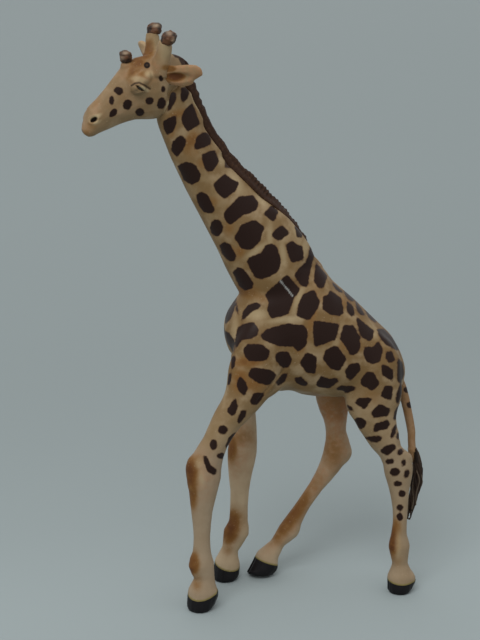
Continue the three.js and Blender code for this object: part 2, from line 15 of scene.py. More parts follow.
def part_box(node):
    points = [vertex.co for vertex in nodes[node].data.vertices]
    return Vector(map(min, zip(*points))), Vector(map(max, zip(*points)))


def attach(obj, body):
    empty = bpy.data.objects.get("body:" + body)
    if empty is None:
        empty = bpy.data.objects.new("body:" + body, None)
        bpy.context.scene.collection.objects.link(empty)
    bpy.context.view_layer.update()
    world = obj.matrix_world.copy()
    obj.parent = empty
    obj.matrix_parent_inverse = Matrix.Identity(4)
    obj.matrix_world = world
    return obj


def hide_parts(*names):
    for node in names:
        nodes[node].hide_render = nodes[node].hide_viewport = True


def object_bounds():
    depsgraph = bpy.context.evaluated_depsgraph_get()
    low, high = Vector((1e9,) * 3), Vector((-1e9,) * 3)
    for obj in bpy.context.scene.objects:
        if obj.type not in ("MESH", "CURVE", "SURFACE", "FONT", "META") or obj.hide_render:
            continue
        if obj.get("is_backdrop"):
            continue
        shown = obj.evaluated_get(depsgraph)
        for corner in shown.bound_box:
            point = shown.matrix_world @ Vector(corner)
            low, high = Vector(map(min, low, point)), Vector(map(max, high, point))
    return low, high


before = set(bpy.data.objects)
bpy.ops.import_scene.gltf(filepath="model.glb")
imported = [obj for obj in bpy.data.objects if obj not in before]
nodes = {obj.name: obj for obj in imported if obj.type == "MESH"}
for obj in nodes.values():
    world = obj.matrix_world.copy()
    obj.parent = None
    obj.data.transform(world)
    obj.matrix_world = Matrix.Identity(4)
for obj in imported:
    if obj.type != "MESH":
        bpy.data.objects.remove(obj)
cad_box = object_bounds()
MM = 0.001

# Camera
PICTURE = (480, 640)
LENS = 90.0
SENSOR = 36.0
FOCAL = LENS / SENSOR * PICTURE[1]
AZIMUTH = math.radians(-12)
ELEVATION = math.radians(17.5)
DISTANCE = 515.0
TARGET = np.array([-5.455, 2.287, 95.0])
# The y of the figure's middle plane.
MIDDLE_Y = 1.287
# Pixels for each mm where the figure stands.
PX_PER_MM = 3.107
CLIP = (0.01, 20.0)

BACK = np.array([
    math.sin(AZIMUTH) * math.cos(ELEVATION),
    -math.cos(AZIMUTH) * math.cos(ELEVATION),
    math.sin(ELEVATION),
])
RIGHT = np.array([math.cos(AZIMUTH), math.sin(AZIMUTH), 0.0])
UP = np.cross(BACK, RIGHT)
EYE = TARGET + BACK * DISTANCE

camera_data = bpy.data.cameras.new("camera")
camera_data.lens = LENS
camera_data.sensor_width = SENSOR
camera_data.clip_start, camera_data.clip_end = CLIP
camera = bpy.data.objects.new("camera", camera_data)
camera.location = Vector(EYE * MM)
camera.rotation_euler = Vector(BACK).to_track_quat("Z", "Y").to_euler()
bpy.context.scene.collection.objects.link(camera)
bpy.context.scene.camera = camera


def pixels(points):
    """Where points show in the picture."""
    d = points - EYE
    depth = -(d @ BACK)
    return np.stack([
        PICTURE[0] / 2 + FOCAL * (d @ RIGHT) / depth,
        PICTURE[1] / 2 - FOCAL * (d @ UP) / depth,
    ], axis=-1)


def ray(x, y):
    """Direction of the line of sight through a pixel."""
    d = (x - PICTURE[0] / 2) / FOCAL * RIGHT - (y - PICTURE[1] / 2) / FOCAL * UP - BACK
    return Vector(d).normalized()


def smoothstep(low, high, value):
    """A soft step from 0 at low to 1 at high, where low may be the larger."""
    t = np.clip((value - low) / (high - low), 0, 1)
    return t * t * (3 - 2 * t)


# Mesh tools
WELD = 1e-6
TINY = 1e-12
BLUR_STEP = 0.6


def node_mesh(names, grow=0.0):
    """Vertices in mm and faces of CAD nodes, welded, each grown along its normals."""
    points, faces, start = [], [], 0
    for name in names:
        bm = bmesh.new()
        bm.from_mesh(nodes[name].data)
        bmesh.ops.remove_doubles(bm, verts=bm.verts, dist=WELD)
        bm.normal_update()
        points += [v.co / MM + v.normal * grow for v in bm.verts]
        faces += [[v.index + start for v in f.verts] for f in bm.faces]
        start = len(points)
        bm.free()
    return points, faces


def remeshed(points, faces, voxel):
    """The outer skin of solids that may overlap, as points and four-sided faces."""
    me = bpy.data.meshes.new("work")
    me.from_pydata([tuple(p) for p in points], [], faces)
    ob = bpy.data.objects.new("work", me)
    bpy.context.scene.collection.objects.link(ob)
    mod = ob.modifiers.new("skin", "REMESH")
    mod.mode = "VOXEL"
    mod.voxel_size = voxel
    made = bpy.data.meshes.new_from_object(ob.evaluated_get(bpy.context.evaluated_depsgraph_get()))
    skin = Skin.of(made)
    bpy.data.objects.remove(ob)
    bpy.data.meshes.remove(me)
    bpy.data.meshes.remove(made)
    return skin


class Skin:
    """A mesh of four-sided faces as arrays, in mm."""

    def __init__(self, points, quads):
        self.p = points
        self.quads = quads
        a = quads[:, [0, 1, 2, 3]].ravel()
        b = quads[:, [1, 2, 3, 0]].ravel()
        keep = a < b
        self.a, self.b = a[keep], b[keep]
        size = len(points)
        self.count = np.bincount(self.a, minlength=size) + np.bincount(self.b, minlength=size)
        self.count = np.maximum(self.count, 1)

    @staticmethod
    def of(me):
        points = np.empty(len(me.vertices) * 3)
        me.vertices.foreach_get("co", points)
        corners = np.empty(len(me.loops), int)
        me.loops.foreach_get("vertex_index", corners)
        return Skin(points.reshape(-1, 3), corners.reshape(-1, 4))

    def mean(self, value):
        """Each vertex's mean of its neighbours."""
        value = value.reshape(len(self.p), -1)
        out = np.empty_like(value)
        for k in range(value.shape[1]):
            col = value[:, k]
            out[:, k] = (
                np.bincount(self.a, col[self.b], minlength=len(col))
                + np.bincount(self.b, col[self.a], minlength=len(col))
            ) / self.count
        return out

    def blurred(self, value, times, weight=None):
        """The value after so many steps towards the neighbours' mean."""
        shape = value.shape
        value = value.reshape(len(self.p), -1).copy()
        step = BLUR_STEP if weight is None else BLUR_STEP * weight[:, None]
        for _ in range(times):
            value += step * (self.mean(value) - value)
        return value.reshape(shape)

    def normals(self):
        """Unit normals at the vertices."""
        q = self.p[self.quads]
        n = np.cross(q[:, 2] - q[:, 0], q[:, 3] - q[:, 1])
        out = np.zeros_like(self.p)
        for k in range(3):
            for c in range(4):
                out[:, k] += np.bincount(self.quads[:, c], n[:, k], minlength=len(out))
        return out / np.maximum(np.linalg.norm(out, axis=1, keepdims=True), TINY)

    def smooth(self, times, weight=None):
        """Evens the skin out, then gives back the fullness that this takes."""
        before = self.p
        self.p = self.blurred(before, times, weight)
        n = self.normals()
        lost = self.blurred(((before - self.p) * n).sum(1), times, weight)
        self.p = self.p + n * lost[:, None]

    def shift(self, px, direction):
        """Moves each vertex by so many px in a direction."""
        self.p = self.p + np.outer(px / PX_PER_MM, direction)

    def solid(self):
        return self.p.tolist(), self.quads.tolist()

    def tree(self):
        return BVHTree.FromPolygons(*self.solid())


def node_skin(name, grow, voxel, smoothing):
    """The smoothed skin of one CAD node."""
    skin = remeshed(*node_mesh([name], grow), voxel)
    skin.smooth(smoothing)
    return skin


def node_centre(name):
    """Middle of a CAD node's box, in mm."""
    low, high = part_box(name)
    return np.array((low + high) / 2) / MM


def angles(count):
    """So many angles, evenly spaced round a circle."""
    return np.linspace(0, 2 * math.pi, count, endpoint=False)


def tube_faces(rings, sides):
    """Faces of a closed tube whose rings have so many points each."""
    faces = [
        [r * sides + k, r * sides + (k + 1) % sides, (r + 1) * sides + (k + 1) % sides, (r + 1) * sides + k]
        for r in range(rings - 1)
        for k in range(sides)
    ]
    last = (rings - 1) * sides
    return faces + [list(range(sides))[::-1], list(range(last, last + sides))]


def joined(*solids):
    """Several solids as one list of points and one of faces."""
    points, faces = [], []
    for more, corners in solids:
        faces += [[i + len(points) for i in f] for f in corners]
        points += [tuple(p) for p in more]
    return points, faces


def solid_of(bm):
    """Points and faces of a bmesh, which is freed."""
    bm.verts.index_update()
    points = [v.co.copy() for v in bm.verts]
    faces = [[v.index for v in f.verts] for f in bm.faces]
    bm.free()
    return points, faces


def hull(points):
    """The tight skin round some points."""
    bm = bmesh.new()
    verts = [bm.verts.new(p) for p in points]
    bmesh.ops.convex_hull(bm, input=verts)
    bmesh.ops.delete(bm, geom=[v for v in bm.verts if not v.link_faces], context="VERTS")
    return solid_of(bm)


def ball(centre, radius):
    bm = bmesh.new()
    bmesh.ops.create_icosphere(bm, subdivisions=3, radius=radius)
    points, faces = solid_of(bm)
    return [Vector(centre) + p for p in points], faces


# Body skin
LEGS = ["front_left", "front_right", "rear_left", "rear_right"]
BODY_NODES = ["torso", "neck", *(leg + "_leg" for leg in LEGS)]
GROW = 0.22
BODY_VOXEL = 0.42

# The neck goes on inside the head, behind the jaw's rim.
HEAD_JOINT = np.array([-26.915, -0.213, 169.85])
NECK_ALONG = np.array([-0.4833, 0.0, 0.8755])
# Rings along the neck's top: place, how far forward, half depth and half width.
STUB = [(-12, 2.1, 6.2, 5.1), (-6, 2.2, 6.0, 5.0), (-1, 2.3, 5.4, 4.6), (3, 2.2, 4.0, 3.6)]
STUB_SIDES = 24


def neck_stub():
    front = np.cross(NECK_ALONG, (0, 1, 0))
    points = [
        HEAD_JOINT + NECK_ALONG * along
        + front * (forward + deep * math.sin(t))
        + np.array([0, wide * math.cos(t), 0])
        for along, forward, deep, wide in STUB
        for t in angles(STUB_SIDES)
    ]
    return points, tube_faces(len(STUB), STUB_SIDES)


# A foot is the hull of its sole and of the ankle's end, so that it slopes in from the sole to the coronet.
SOLE_TOP = 2.2
ANKLE = (4.3, 6.2)


def foot(leg, grow):
    sole = [p for p in node_mesh(["hoof_" + leg], grow)[0] if p.z < SOLE_TOP]
    ankle = [p for p in node_mesh([leg + "_leg"], grow)[0] if ANKLE[0] - grow < p.z < ANKLE[1]]
    return hull(sole + ankle)


def seen_at(x, y, depth):
    """The place in mm that shows at a pixel and has a given y."""
    d = np.array(ray(x, y))
    return EYE + d * (depth - EYE[1]) / d[1]


# The fold of skin behind the left elbow, in px, and its two sides in mm.
ELBOW = [(285, 386), (282, 389), (276, 394), (268, 397.5), (258, 404.5), (255, 399), (264, 381), (282, 371)]
ELBOW_SIDES = (-9.6, -4.5)

elbow = hull([seen_at(x, y, side) for x, y in ELBOW for side in ELBOW_SIDES])
body = remeshed(
    *joined(node_mesh(BODY_NODES, GROW), neck_stub(), elbow, *(foot(leg, GROW) for leg in LEGS)),
    BODY_VOXEL,
)

# The trunk is evened out fully and the legs a little, with the change between two heights.
BODY_SMOOTHING = 60
LEG_EVENNESS = 0.16
EVEN_HEIGHTS = (62, 78)
evenness = LEG_EVENNESS + (1 - LEG_EVENNESS) * smoothstep(*EVEN_HEIGHTS, body.p[:, 2])
body.smooth(BODY_SMOOTHING, body.blurred(evenness, 5))
body.p -= body.normals() * GROW


# Painted patches, traced on the picture
OVAL_POINTS = 10


def oval(x, y, rx, ry, tilt=0):
    """An oval outline."""
    turn = math.radians(tilt)
    return [
        (x + rx * math.cos(a) * math.cos(turn) - ry * math.sin(a) * math.sin(turn),
         y + rx * math.cos(a) * math.sin(turn) + ry * math.sin(a) * math.cos(turn))
        for a in angles(OVAL_POINTS)
    ]


# Each table: left and top edge of a piece of the picture in px, how much it was enlarged, and outlines.
NECK_PATCHES = (140, 60, 7.84, [
    [(245, 250), (282, 258), (276, 322), (240, 386), (212, 402), (228, 335)],
    [(325, 215), (375, 215), (382, 260), (365, 310), (335, 332), (322, 320)],
    [(180, 485), (288, 425), (280, 500), (262, 555), (215, 585), (190, 540)],
    [(410, 340), (468, 500), (375, 562), (340, 510), (328, 450), (345, 400)],
    [(320, 590), (362, 630), (340, 700), (290, 760), (245, 710), (260, 640)],
    [(450, 600), (490, 570), (540, 575), (558, 660), (470, 695), (422, 698)],
    [(482, 745), (585, 705), (618, 795), (570, 865), (530, 878), (500, 820)],
    [(295, 830), (360, 800), (430, 820), (475, 900), (460, 950), (405, 975), (345, 940)],
    [(665, 895), (700, 925), (778, 965), (740, 1030), (660, 1090), (600, 1030), (575, 975)],
    [(440, 1060), (480, 1035), (530, 1060), (588, 1180), (560, 1200), (500, 1190), (455, 1120)],
    [(655, 1200), (780, 1070), (840, 1070), (880, 1060), (925, 1110), (915, 1170), (850, 1205),
     (820, 1205), (710, 1290), (665, 1250)],
    [(740, 1390), (800, 1290), (900, 1255), (975, 1310), (950, 1370), (940, 1420), (870, 1485),
     (800, 1480)],
    oval(600, 1315, 48, 65),
    [(968, 1210), (1030, 1140), (1082, 1185), (1050, 1268)],
    [(1040, 1350), (1110, 1295), (1172, 1355), (1090, 1418), (1040, 1390)],
    [(1215, 1300), (1275, 1350), (1265, 1390), (1235, 1390)],
])
TRUNK_PATCHES = (200, 220, 7.127, [
    [(140, 180), (170, 160), (215, 175), (258, 260), (240, 290), (205, 290), (160, 240)],
    [(335, 300), (350, 270), (440, 235), (470, 180), (510, 170), (545, 190), (575, 290), (560, 360),
     (500, 400), (430, 422), (390, 400)],
    [(608, 175), (660, 152), (690, 178), (728, 190), (738, 285), (650, 300), (630, 240)],
    [(785, 190), (810, 260), (780, 370), (765, 478), (720, 465), (675, 395), (700, 350), (755, 305),
     (775, 250)],
    [(825, 305), (905, 400), (880, 480), (850, 485), (815, 440)],
    [(235, 375), (270, 340), (310, 350), (380, 450), (370, 485), (320, 500), (280, 470)],
    [(460, 535), (570, 435), (620, 392), (712, 495), (665, 560), (625, 670), (510, 698), (480, 640),
     (495, 600), (490, 575)],
    [(300, 720), (310, 650), (350, 605), (400, 590), (432, 600), (420, 625), (370, 650), (325, 690)],
    [(690, 680), (705, 600), (740, 530), (810, 498), (850, 580), (830, 640), (778, 715)],
    [(878, 545), (910, 540), (930, 505), (1005, 560), (1020, 660), (990, 682), (930, 670), (880, 640)],
    [(945, 445), (1018, 515), (985, 505), (960, 480)],
    [(1050, 580), (1090, 620), (1098, 670), (1080, 690), (1048, 650)],
    [(1110, 580), (1175, 680), (1140, 670), (1120, 640)],
    [(1180, 645), (1255, 725), (1235, 720), (1205, 695)],
    [(160, 750), (190, 650), (255, 555), (240, 640), (215, 700), (195, 725)],
    [(255, 560), (275, 675), (262, 640)],
    [(170, 790), (210, 810), (245, 870), (240, 940), (190, 860)],
    [(270, 770), (310, 745), (380, 730), (415, 780), (405, 820), (360, 845), (300, 850), (258, 910),
     (250, 880)],
    [(430, 830), (480, 780), (620, 742), (740, 752), (765, 800), (755, 890), (700, 940), (670, 900),
     (560, 895), (470, 860)],
    [(812, 720), (990, 742), (965, 850), (820, 902), (808, 800)],
    [(1025, 755), (1090, 750), (1135, 840), (1140, 910), (1115, 955), (1075, 962), (1040, 900),
     (1000, 850)],
    [(1115, 695), (1235, 790), (1230, 840), (1205, 860), (1150, 830), (1130, 760)],
    [(1265, 780), (1310, 780), (1380, 850), (1420, 920), (1400, 925), (1320, 880), (1280, 830)],
    [(310, 920), (340, 888), (440, 890), (495, 935), (480, 990), (440, 1005), (345, 1000), (320, 960)],
    [(535, 965), (575, 940), (630, 945), (655, 1000), (630, 1045), (595, 1052), (550, 1010)],
    [(715, 1020), (760, 945), (830, 975), (820, 1095), (755, 1080)],
    [(880, 990), (895, 930), (970, 895), (1042, 990), (995, 1070), (935, 1060)],
    [(1170, 960), (1175, 905), (1235, 910), (1270, 865), (1302, 920), (1280, 1005), (1240, 1025),
     (1190, 1010)],
    [(1330, 940), (1370, 940), (1388, 1005), (1350, 1015), (1325, 985)],
    [(1038, 1075), (1070, 1028), (1130, 1022), (1145, 1065), (1070, 1145), (1045, 1115)],
    [(1145, 1150), (1185, 1085), (1235, 1090), (1280, 1165), (1228, 1215), (1150, 1170)],
    [(1295, 1040), (1310, 1030), (1375, 1070), (1370, 1145), (1300, 1100)],
    [(345, 1100), (370, 1055), (500, 1070), (545, 1105), (490, 1175), (420, 1160), (350, 1115)],
    [(540, 1160), (590, 1100), (625, 1095), (600, 1150), (560, 1178)],
    [(670, 1130), (720, 1120), (765, 1165), (755, 1190), (700, 1170)],
    [(830, 1170), (870, 1110), (905, 1135), (975, 1130), (985, 1150), (910, 1202), (840, 1185)],
    [(960, 1210), (1000, 1185), (1090, 1185), (1112, 1205), (1030, 1235), (980, 1230)],
    [(840, 1245), (880, 1235), (910, 1245), (870, 1252)],
    [(262, 1160), (285, 1120), (320, 1150), (340, 1200), (315, 1255), (275, 1210)],
    [(360, 1290), (385, 1235), (460, 1235), (410, 1312), (365, 1310)],
    [(1045, 1320), (1075, 1330), (1098, 1360), (1070, 1355)],
    [(1290, 1255), (1320, 1180), (1372, 1190), (1360, 1285)],
    [(1410, 990), (1440, 1020), (1450, 1100), (1430, 1155), (1410, 1150)],
    [(1435, 1170), (1425, 1250), (1405, 1310)],
])
FRONT_LEG_PATCHES = (160, 380, 6.533, [
    [(438, 200), (490, 120), (508, 170), (485, 225), (465, 232)],
    [(505, 270), (535, 200), (565, 195), (555, 235), (520, 283)],
    oval(410, 325, 30, 28),
    [(428, 435), (455, 375), (490, 345), (492, 360), (460, 420), (435, 442)],
    oval(350, 422, 22, 33),
    oval(398, 495, 24, 16),
    [(282, 500), (305, 500), (325, 560), (365, 585), (368, 605), (345, 620), (310, 590), (295, 545)],
])
HIND_LEG_PATCHES = (280, 380, 6.533, [
    [(490, 145), (520, 120), (602, 120), (550, 190)],
    [(595, 215), (650, 158), (718, 190), (705, 230), (615, 245)],
    oval(520, 282, 42, 35),
    [(610, 338), (620, 290), (700, 265), (718, 285), (700, 315)],
    [(555, 375), (660, 368), (665, 385), (640, 405), (600, 402)],
    [(655, 465), (690, 430), (750, 420), (755, 450), (700, 490)],
    [(720, 375), (740, 310), (760, 290), (755, 330), (735, 378)],
    oval(787, 470, 13, 25, 38),
    oval(718, 532, 26, 15, -10),
    oval(808, 541, 12, 23, 8),
    oval(750, 602, 30, 25),
    oval(828, 612, 14, 27, 14),
    oval(770, 677, 25, 15),
    oval(797, 742, 24, 18),
    oval(782, 832, 22, 16),
    oval(782, 895, 18, 24),
])
EDGE_PATCHES = (0, 0, 1, [
    [(235.5, 356), (234.5, 366), (231.5, 369), (232, 357)],
    [(232, 373), (229.5, 384), (227, 385), (229, 374)],
    [(399, 406), (396.5, 418), (393.8, 420), (395, 411)],
    [(398.8, 434), (398.6, 439), (396.8, 437.5), (397.6, 433)],
    [(344, 289.5), (349, 293), (354, 300), (351, 301), (346, 296)],
    [(400.6, 384), (401.6, 392), (398, 403.5), (396, 400), (397.6, 391)],
])
HEAD_PATCHES = (76, 50, 12, [
    oval(512, 490, 55, 46, 25),
    oval(430, 607, 28, 52),
    oval(447, 755, 60, 35, -50),
    oval(618, 655, 52, 64, 20),
    oval(765, 745, 54, 45, 10),
    oval(882, 608, 50, 42, -25),
    oval(1025, 640, 52, 68, 15),
    oval(1018, 338, 24, 36),
    oval(1047, 470, 21, 34),
    [(1176, 500), (1206, 528), (1194, 612), (1146, 702), (1114, 722), (1134, 636)],
])
TAIL_PATCHES = (0, 0, 1, [oval(407, 390, 3.5, 3), oval(410, 405, 3.2, 3)])
BODY_TABLES = [NECK_PATCHES, TRUNK_PATCHES, FRONT_LEG_PATCHES, HIND_LEG_PATCHES, EDGE_PATCHES]
# The patch distance in mm where no patch is near, and how near in px an outline has to be to count.
FAR = 6.0
NEAR_OUTLINE = 8


def line_distance(q, line):
    """Distance in px to an open line."""
    best = np.full(len(q), np.inf)
    for a, b in zip(np.array(line[:-1], float), np.array(line[1:], float)):
        along = b - a
        t = np.clip((q - a) @ along / (along @ along), 0, 1)
        best = np.minimum(best, np.linalg.norm(q - a - t[:, None] * along, axis=1))
    return best


def outline_distance(q, outline):
    """Distance in px to a closed outline, below 0 inside."""
    closed = np.vstack([outline, outline[:1]])
    inside = np.zeros(len(q), bool)
    for a, b in zip(closed[:-1], closed[1:]):
        if a[1] != b[1]:
            crossed = (a[1] > q[:, 1]) != (b[1] > q[:, 1])
            inside ^= crossed & (q[:, 0] < a[0] + (q[:, 1] - a[1]) * (b[0] - a[0]) / (b[1] - a[1]))
    distance = line_distance(q, closed)
    return np.where(inside, -distance, distance)


def patch_distance(q, tables):
    """Distance in mm to the nearest traced patch, below 0 inside one, for places in px."""
    out = np.full(len(q), FAR * PX_PER_MM)
    for left, top, scale, outlines in tables:
        for outline in outlines:
            outline = np.array(outline, float) / scale + (left, top)
            near = ((q > outline.min(0) - NEAR_OUTLINE) & (q < outline.max(0) + NEAR_OUTLINE)).all(1)
            if near.any():
                out[near] = np.minimum(out[near], outline_distance(q[near], outline))
    return out / PX_PER_MM


def mirrored(points):
    """The same places on the figure's other side."""
    return points * (1, -1, 1) + (0, 2 * MIDDLE_Y, 0)


# Where the legs run
LEG_TOP = 72.0
LEG_HEIGHTS = np.arange(0, LEG_TOP + 8)
LEG_LINE_WIDTH = 2.5


def middle_line(points, heights, width):
    """Mean x and y of the points near each height."""
    near = np.exp(-((points[:, 2] - heights[:, None]) / width) ** 2) + TINY
    return near @ points[:, :2] / near.sum(1, keepdims=True)


leg_lines = {
    leg: middle_line(np.array(node_mesh([leg + "_leg"])[0]), LEG_HEIGHTS, LEG_LINE_WIDTH)
    for leg in LEGS
}


def at_height(line, z):
    return np.stack([np.interp(z, LEG_HEIGHTS, line[:, k]) for k in range(2)], axis=1)


def nearest_leg(points):
    """Index of the leg that each point below the belly belongs to, or -1 above it."""
    reach = np.stack([
        np.linalg.norm(points[:, :2] - at_height(line, points[:, 2]), axis=1)
        for line in leg_lines.values()
    ])
    leg = reach.argmin(0)
    leg[points[:, 2] > LEG_TOP] = -1
    return leg


# Washes, shades and lines, traced in px

# A dab is its centre, half sizes, tilt and strength.
BODY_WASHES = [
    (189.5, 473, 7.5, 17, -4, 1.3),
    (192, 493, 5, 16, -4, 0.9),
    (196, 461, 8, 6, -30, 0.6),
    (193, 564, 6, 12, 0, 1.0),
    (191, 570, 3.5, 5, 20, 1.3),
    (197, 583, 5, 9, 0, 0.5),
    (393, 540, 5.5, 16, 0, 1.2),
    (392, 546, 4.5, 8, 0, 1.4),
    (396, 527, 5, 10, 0, 0.7),
    (398, 561, 5, 6, 0, 0.35),
    (182, 113, 15, 4, -10, 0.6),
    (191, 141, 6, 11, 25, 0.75),
    (172, 133, 4, 9, 20, 0.5),
    (229, 228, 5, 9, 10, 0.5),
    (240, 252, 5, 6, 0, 0.6),
    (191, 150, 9, 7, 20, 0.5),
    (203, 163, 7, 5, 0, 0.5),
    (211, 202, 9, 5, -20, 0.5),
    (246, 291, 14, 7, 10, 0.75),
    (233, 252, 7, 6, 0, 0.5),
    (262, 298, 10, 5, 20, 0.5),
    (247, 362, 16, 5, 0, 0.8),
    (240, 380, 8, 12, 10, 0.7),
    (254, 385, 12, 8, 0, 0.6),
    (312, 312, 5, 26, 8, 0.6),
    (333, 300, 14, 5, 10, 0.6),
    (350, 345, 12, 7, 0, 0.4),
    (300, 345, 6, 16, 0, 0.4),
    (372, 398, 12, 8, 0, 0.4),
]
# Pale cream paint along some patches, and a painted highlight on the shoulder, which is the first dab.
BODY_PALE_AND_HIGHLIGHT = [
    (256, 314, 12, 5, 0, 0.45),
    (284, 320, 17, 2.8, -5, 0.45),
    (298, 300, 3, 13, 22, 0.45),
    (283, 253, 3, 12, -8, 0.45),
    (257, 250, 13, 3, -35, 0.45),
    (305, 248, 3.5, 10, 10, 0.4),
    (235, 328, 3.5, 12, 0, 0.35),
    (222, 160, 3.5, 6, 0, 0.4),
    (238, 184, 4, 12, -30, 0.4),
    (262, 200, 7, 4, 40, 0.4),
    (270, 236, 3, 13, 0, 0.4),
    (296, 232, 3.5, 11, -25, 0.4),
    (335, 345, 3, 10, 20, 0.3),
    (372, 330, 3, 9, -30, 0.35),
    (199, 463, 3.5, 5, 0, 0.35),
    (201.5, 478, 3, 9, 0, 0.3),
    (398, 545, 2.5, 12, 0, 0.3),
]
# A pale worn line across a patch, with a painted glint along it.
SCRATCH_AND_GLINT = [(280.5, 281), (286, 287.5), (292.8, 296.2)]
MANE_EDGE = [(190, 87), (196, 104), (207, 122), (217, 138), (222, 150)]
FAR_WASHES = [
    (231, 448, 5.5, 14, 0, 1.0),
    (243, 437, 14, 9, 0, 0.5),
    (230.5, 527, 8, 15, 10, 1.3),
    (233, 520, 11, 11, 0, 0.7),
    (228, 549, 6, 9, 0, 0.45),
    (334, 405, 13, 18, 0, 0.42),
    (292, 516, 7.5, 31, 36, 0.95),
    (277, 541, 7, 6, 0, 0.5),
    (333, 452, 11, 20, 0, 0.55),
    (312, 488, 8, 20, 35, 0.45),
]
# A pink tint on the far legs that is also painted light: it is strongest on the rear thigh under the belly,
# where shade falls.
FAR_BLUSH_AND_LIGHT = [
    (334, 405, 15, 18, 0, 1.6),
    (334, 440, 13, 26, 0, 0.85),
    (315, 483, 10, 22, 35, 0.7),
    (236, 440, 14, 32, 0, 0.7),
    (290, 520, 10, 26, 36, 0.6),
]
NEAR_BLUSH = [(198, 475, 14, 22, 0, 0.45)]
BODY_SHADE = [(270, 325, 42, 30, 0, 0.14), (375, 370, 28, 35, 0, 0.08), (198, 130, 30, 50, -25, 0.1)]
HEAD_WASHES = [
    (91, 126, 7, 5, 0, 0.35),
    (138, 63, 8, 6, -35, 0.95),
    (132, 72, 4, 9, 20, 0.8),
    (129, 78, 4, 4, 0, 0.5),
    (143, 74, 6, 3, -20, 0.6),
    (120, 58, 4, 3, 0, 0.5),
    (87, 133, 6, 4, 0, 0.45),
    (96, 104, 6, 3, -40, 0.3),
    (150, 113, 5, 3, 0, 0.25),
]
# These show on the side that faces the camera only.
FRONT_WASHES = [
    (149, 48, 5, 8, 10, 1.0),
    (144, 56, 9, 4, -15, 0.95),
    (137, 60, 6, 5, -30, 0.9),
    (137, 69, 4, 5, 20, 0.6),
    (166, 67.5, 4.5, 3, 0, 0.6),
]
HEAD_SHADE = [(140, 95.5, 10, 5.5, 8, 0.4), (133, 90, 4, 4, 0, 0.4), (118, 118, 16, 3, -12, 0.35)]
# Pale paint on the jaw's rim and by the nostril, and painted highlights on the brow, the upper lid and the
# horn shafts.
HEAD_PALE_AND_HIGHLIGHTS = [
    (144, 88.6, 4.8, 1.7, 27, 0.85),
    (149, 74, 4, 3.5, 0, 0.6),
    (139, 79.5, 8, 3, 10, 0.5),
    (95.5, 117.4, 6, 2.2, -30, 0.7),
    (97, 122.5, 4, 1.6, -30, 0.5),
    (168.5, 103, 1.3, 10, 22, 0.8),
    (165, 50, 6, 10, 0, 0.4),
    (156, 38, 2.2, 8, 5, 0.6),
]
HEAD_BLUSH = [
    (140, 70, 20, 14, 0, 0.75),
    (130, 100, 26, 20, -20, 0.25),
    (158, 58, 8, 14, 0, 0.3),
    (84, 128, 9, 8, 0, 0.4),
    (96, 108, 10, 12, -30, 0.3),
]
LID_LINE = [(131.5, 85.6), (135, 83.4), (139.3, 82.7), (144, 85.0), (150, 88.9)]
LID_SLIT = np.array([(135.2, 85.2), (138.3, 85.8), (141.6, 88.0), (145.2, 91.0), (142, 91.2), (138.4, 89.4)])
NOSTRIL = np.array(oval(93.8, 119.6, 3.9, 2.3, -30))
SPOT = (147, 65.2)
POLL = np.array([(174.5, 52), (177, 55.8), (181.4, 64.5), (183, 69), (196, 69), (190, 57), (180, 50)])
MANE_STEP = np.array([(221, 147), (225, 156), (224.6, 167.6), (232.5, 168.6), (229, 158)])
EAR_NUDGES = [(168, 71, 6, 4, 0, 0, -3.6), (199.5, 81, 5, 5, 0, -3, -1.5)]
EAR_HOLLOW = (178, 77, 11, 3.6, 3, 0.9)
CAP_GLINTS = [
    (156, 25.5, 3.2, 1.7, 0, 0.7),
    (169, 33, 3, 2, 20, 0.5),
    (173.5, 40, 1.5, 3, 0, 0.35),
    (125.5, 53, 3, 1.6, 0, 0.6),
    (122, 58, 2, 2, 0, 0.35),
]
EAR_WASHES = [
    (169, 68.5, 7, 3.4, 0, 1.0),
    (174.5, 77.4, 9, 3.9, 3, 1.6),
    (168, 80, 5, 3, 0, 0.6),
    (198, 75, 4, 5, 0, 0.25),
]


def dabs(q, brush, hardness=1.3):
    """The strongest of some soft-edged oval dabs at each place in px."""
    out = np.zeros(len(q))
    for x, y, rx, ry, tilt, strength in brush:
        turn = math.radians(tilt)
        d = q - (x, y)
        along = (d[:, 0] * math.cos(turn) + d[:, 1] * math.sin(turn)) / rx
        across = (d[:, 1] * math.cos(turn) - d[:, 0] * math.sin(turn)) / ry
        out = np.maximum(out, strength * np.exp(-0.7 * (along**2 + across**2) ** hardness))
    return out


# Heights in mm between which the body's looks change.
INNER_LEG = (76, 68)
NECK_ROOT = (98, 115)
GAP_HEIGHTS = (58, 80)
TRUNK_HIGH = (125, 100)
TRUNK_LOW = (64, 84)
FAR_LEG = (88, 56)
NEAR_LEG = (66, 46)
# How pale each leg is, in the order of LEGS, and the trunk. The far legs, front right and rear right, are
# painted paler still, as painted light where the body shades them.
LEG_TONES = np.array([1.15, 1.55, 0.6, 1.4, 0.0])
RIM_REACH = 9
RIM_WIDTHS = (0.75, 0.25)
MANE_EDGE_WIDTH = 1.8


def far_side_px(p, leg):
    """Where the near side's twin of each place shows, moved a little so that the two sides differ."""
    twin = mirrored(p)
    for far, near in ((1, 0), (3, 2)):
        here = leg == far
        offset = p[here, :2] - at_height(leg_lines[LEGS[far]], p[here, 2])
        twin[here, :2] = at_height(leg_lines[LEGS[near]], p[here, 2]) + offset * (1, -1)
    return pixels(twin) + 2.0 * np.stack([np.sin(p[:, 2] / 9), np.sin(p[:, 0] / 7 + 1)], axis=1)


def coronet_rims(p):
    """Share of the pale rim round each coronet."""
    away = np.full(len(p), FAR)
    for point, normal in coronets.values():
        near = np.linalg.norm(p - point, axis=1) < RIM_REACH
        away[near] = np.minimum(away[near], np.abs((p[near] - point) @ normal))
    return smoothstep(*RIM_WIDTHS, away)


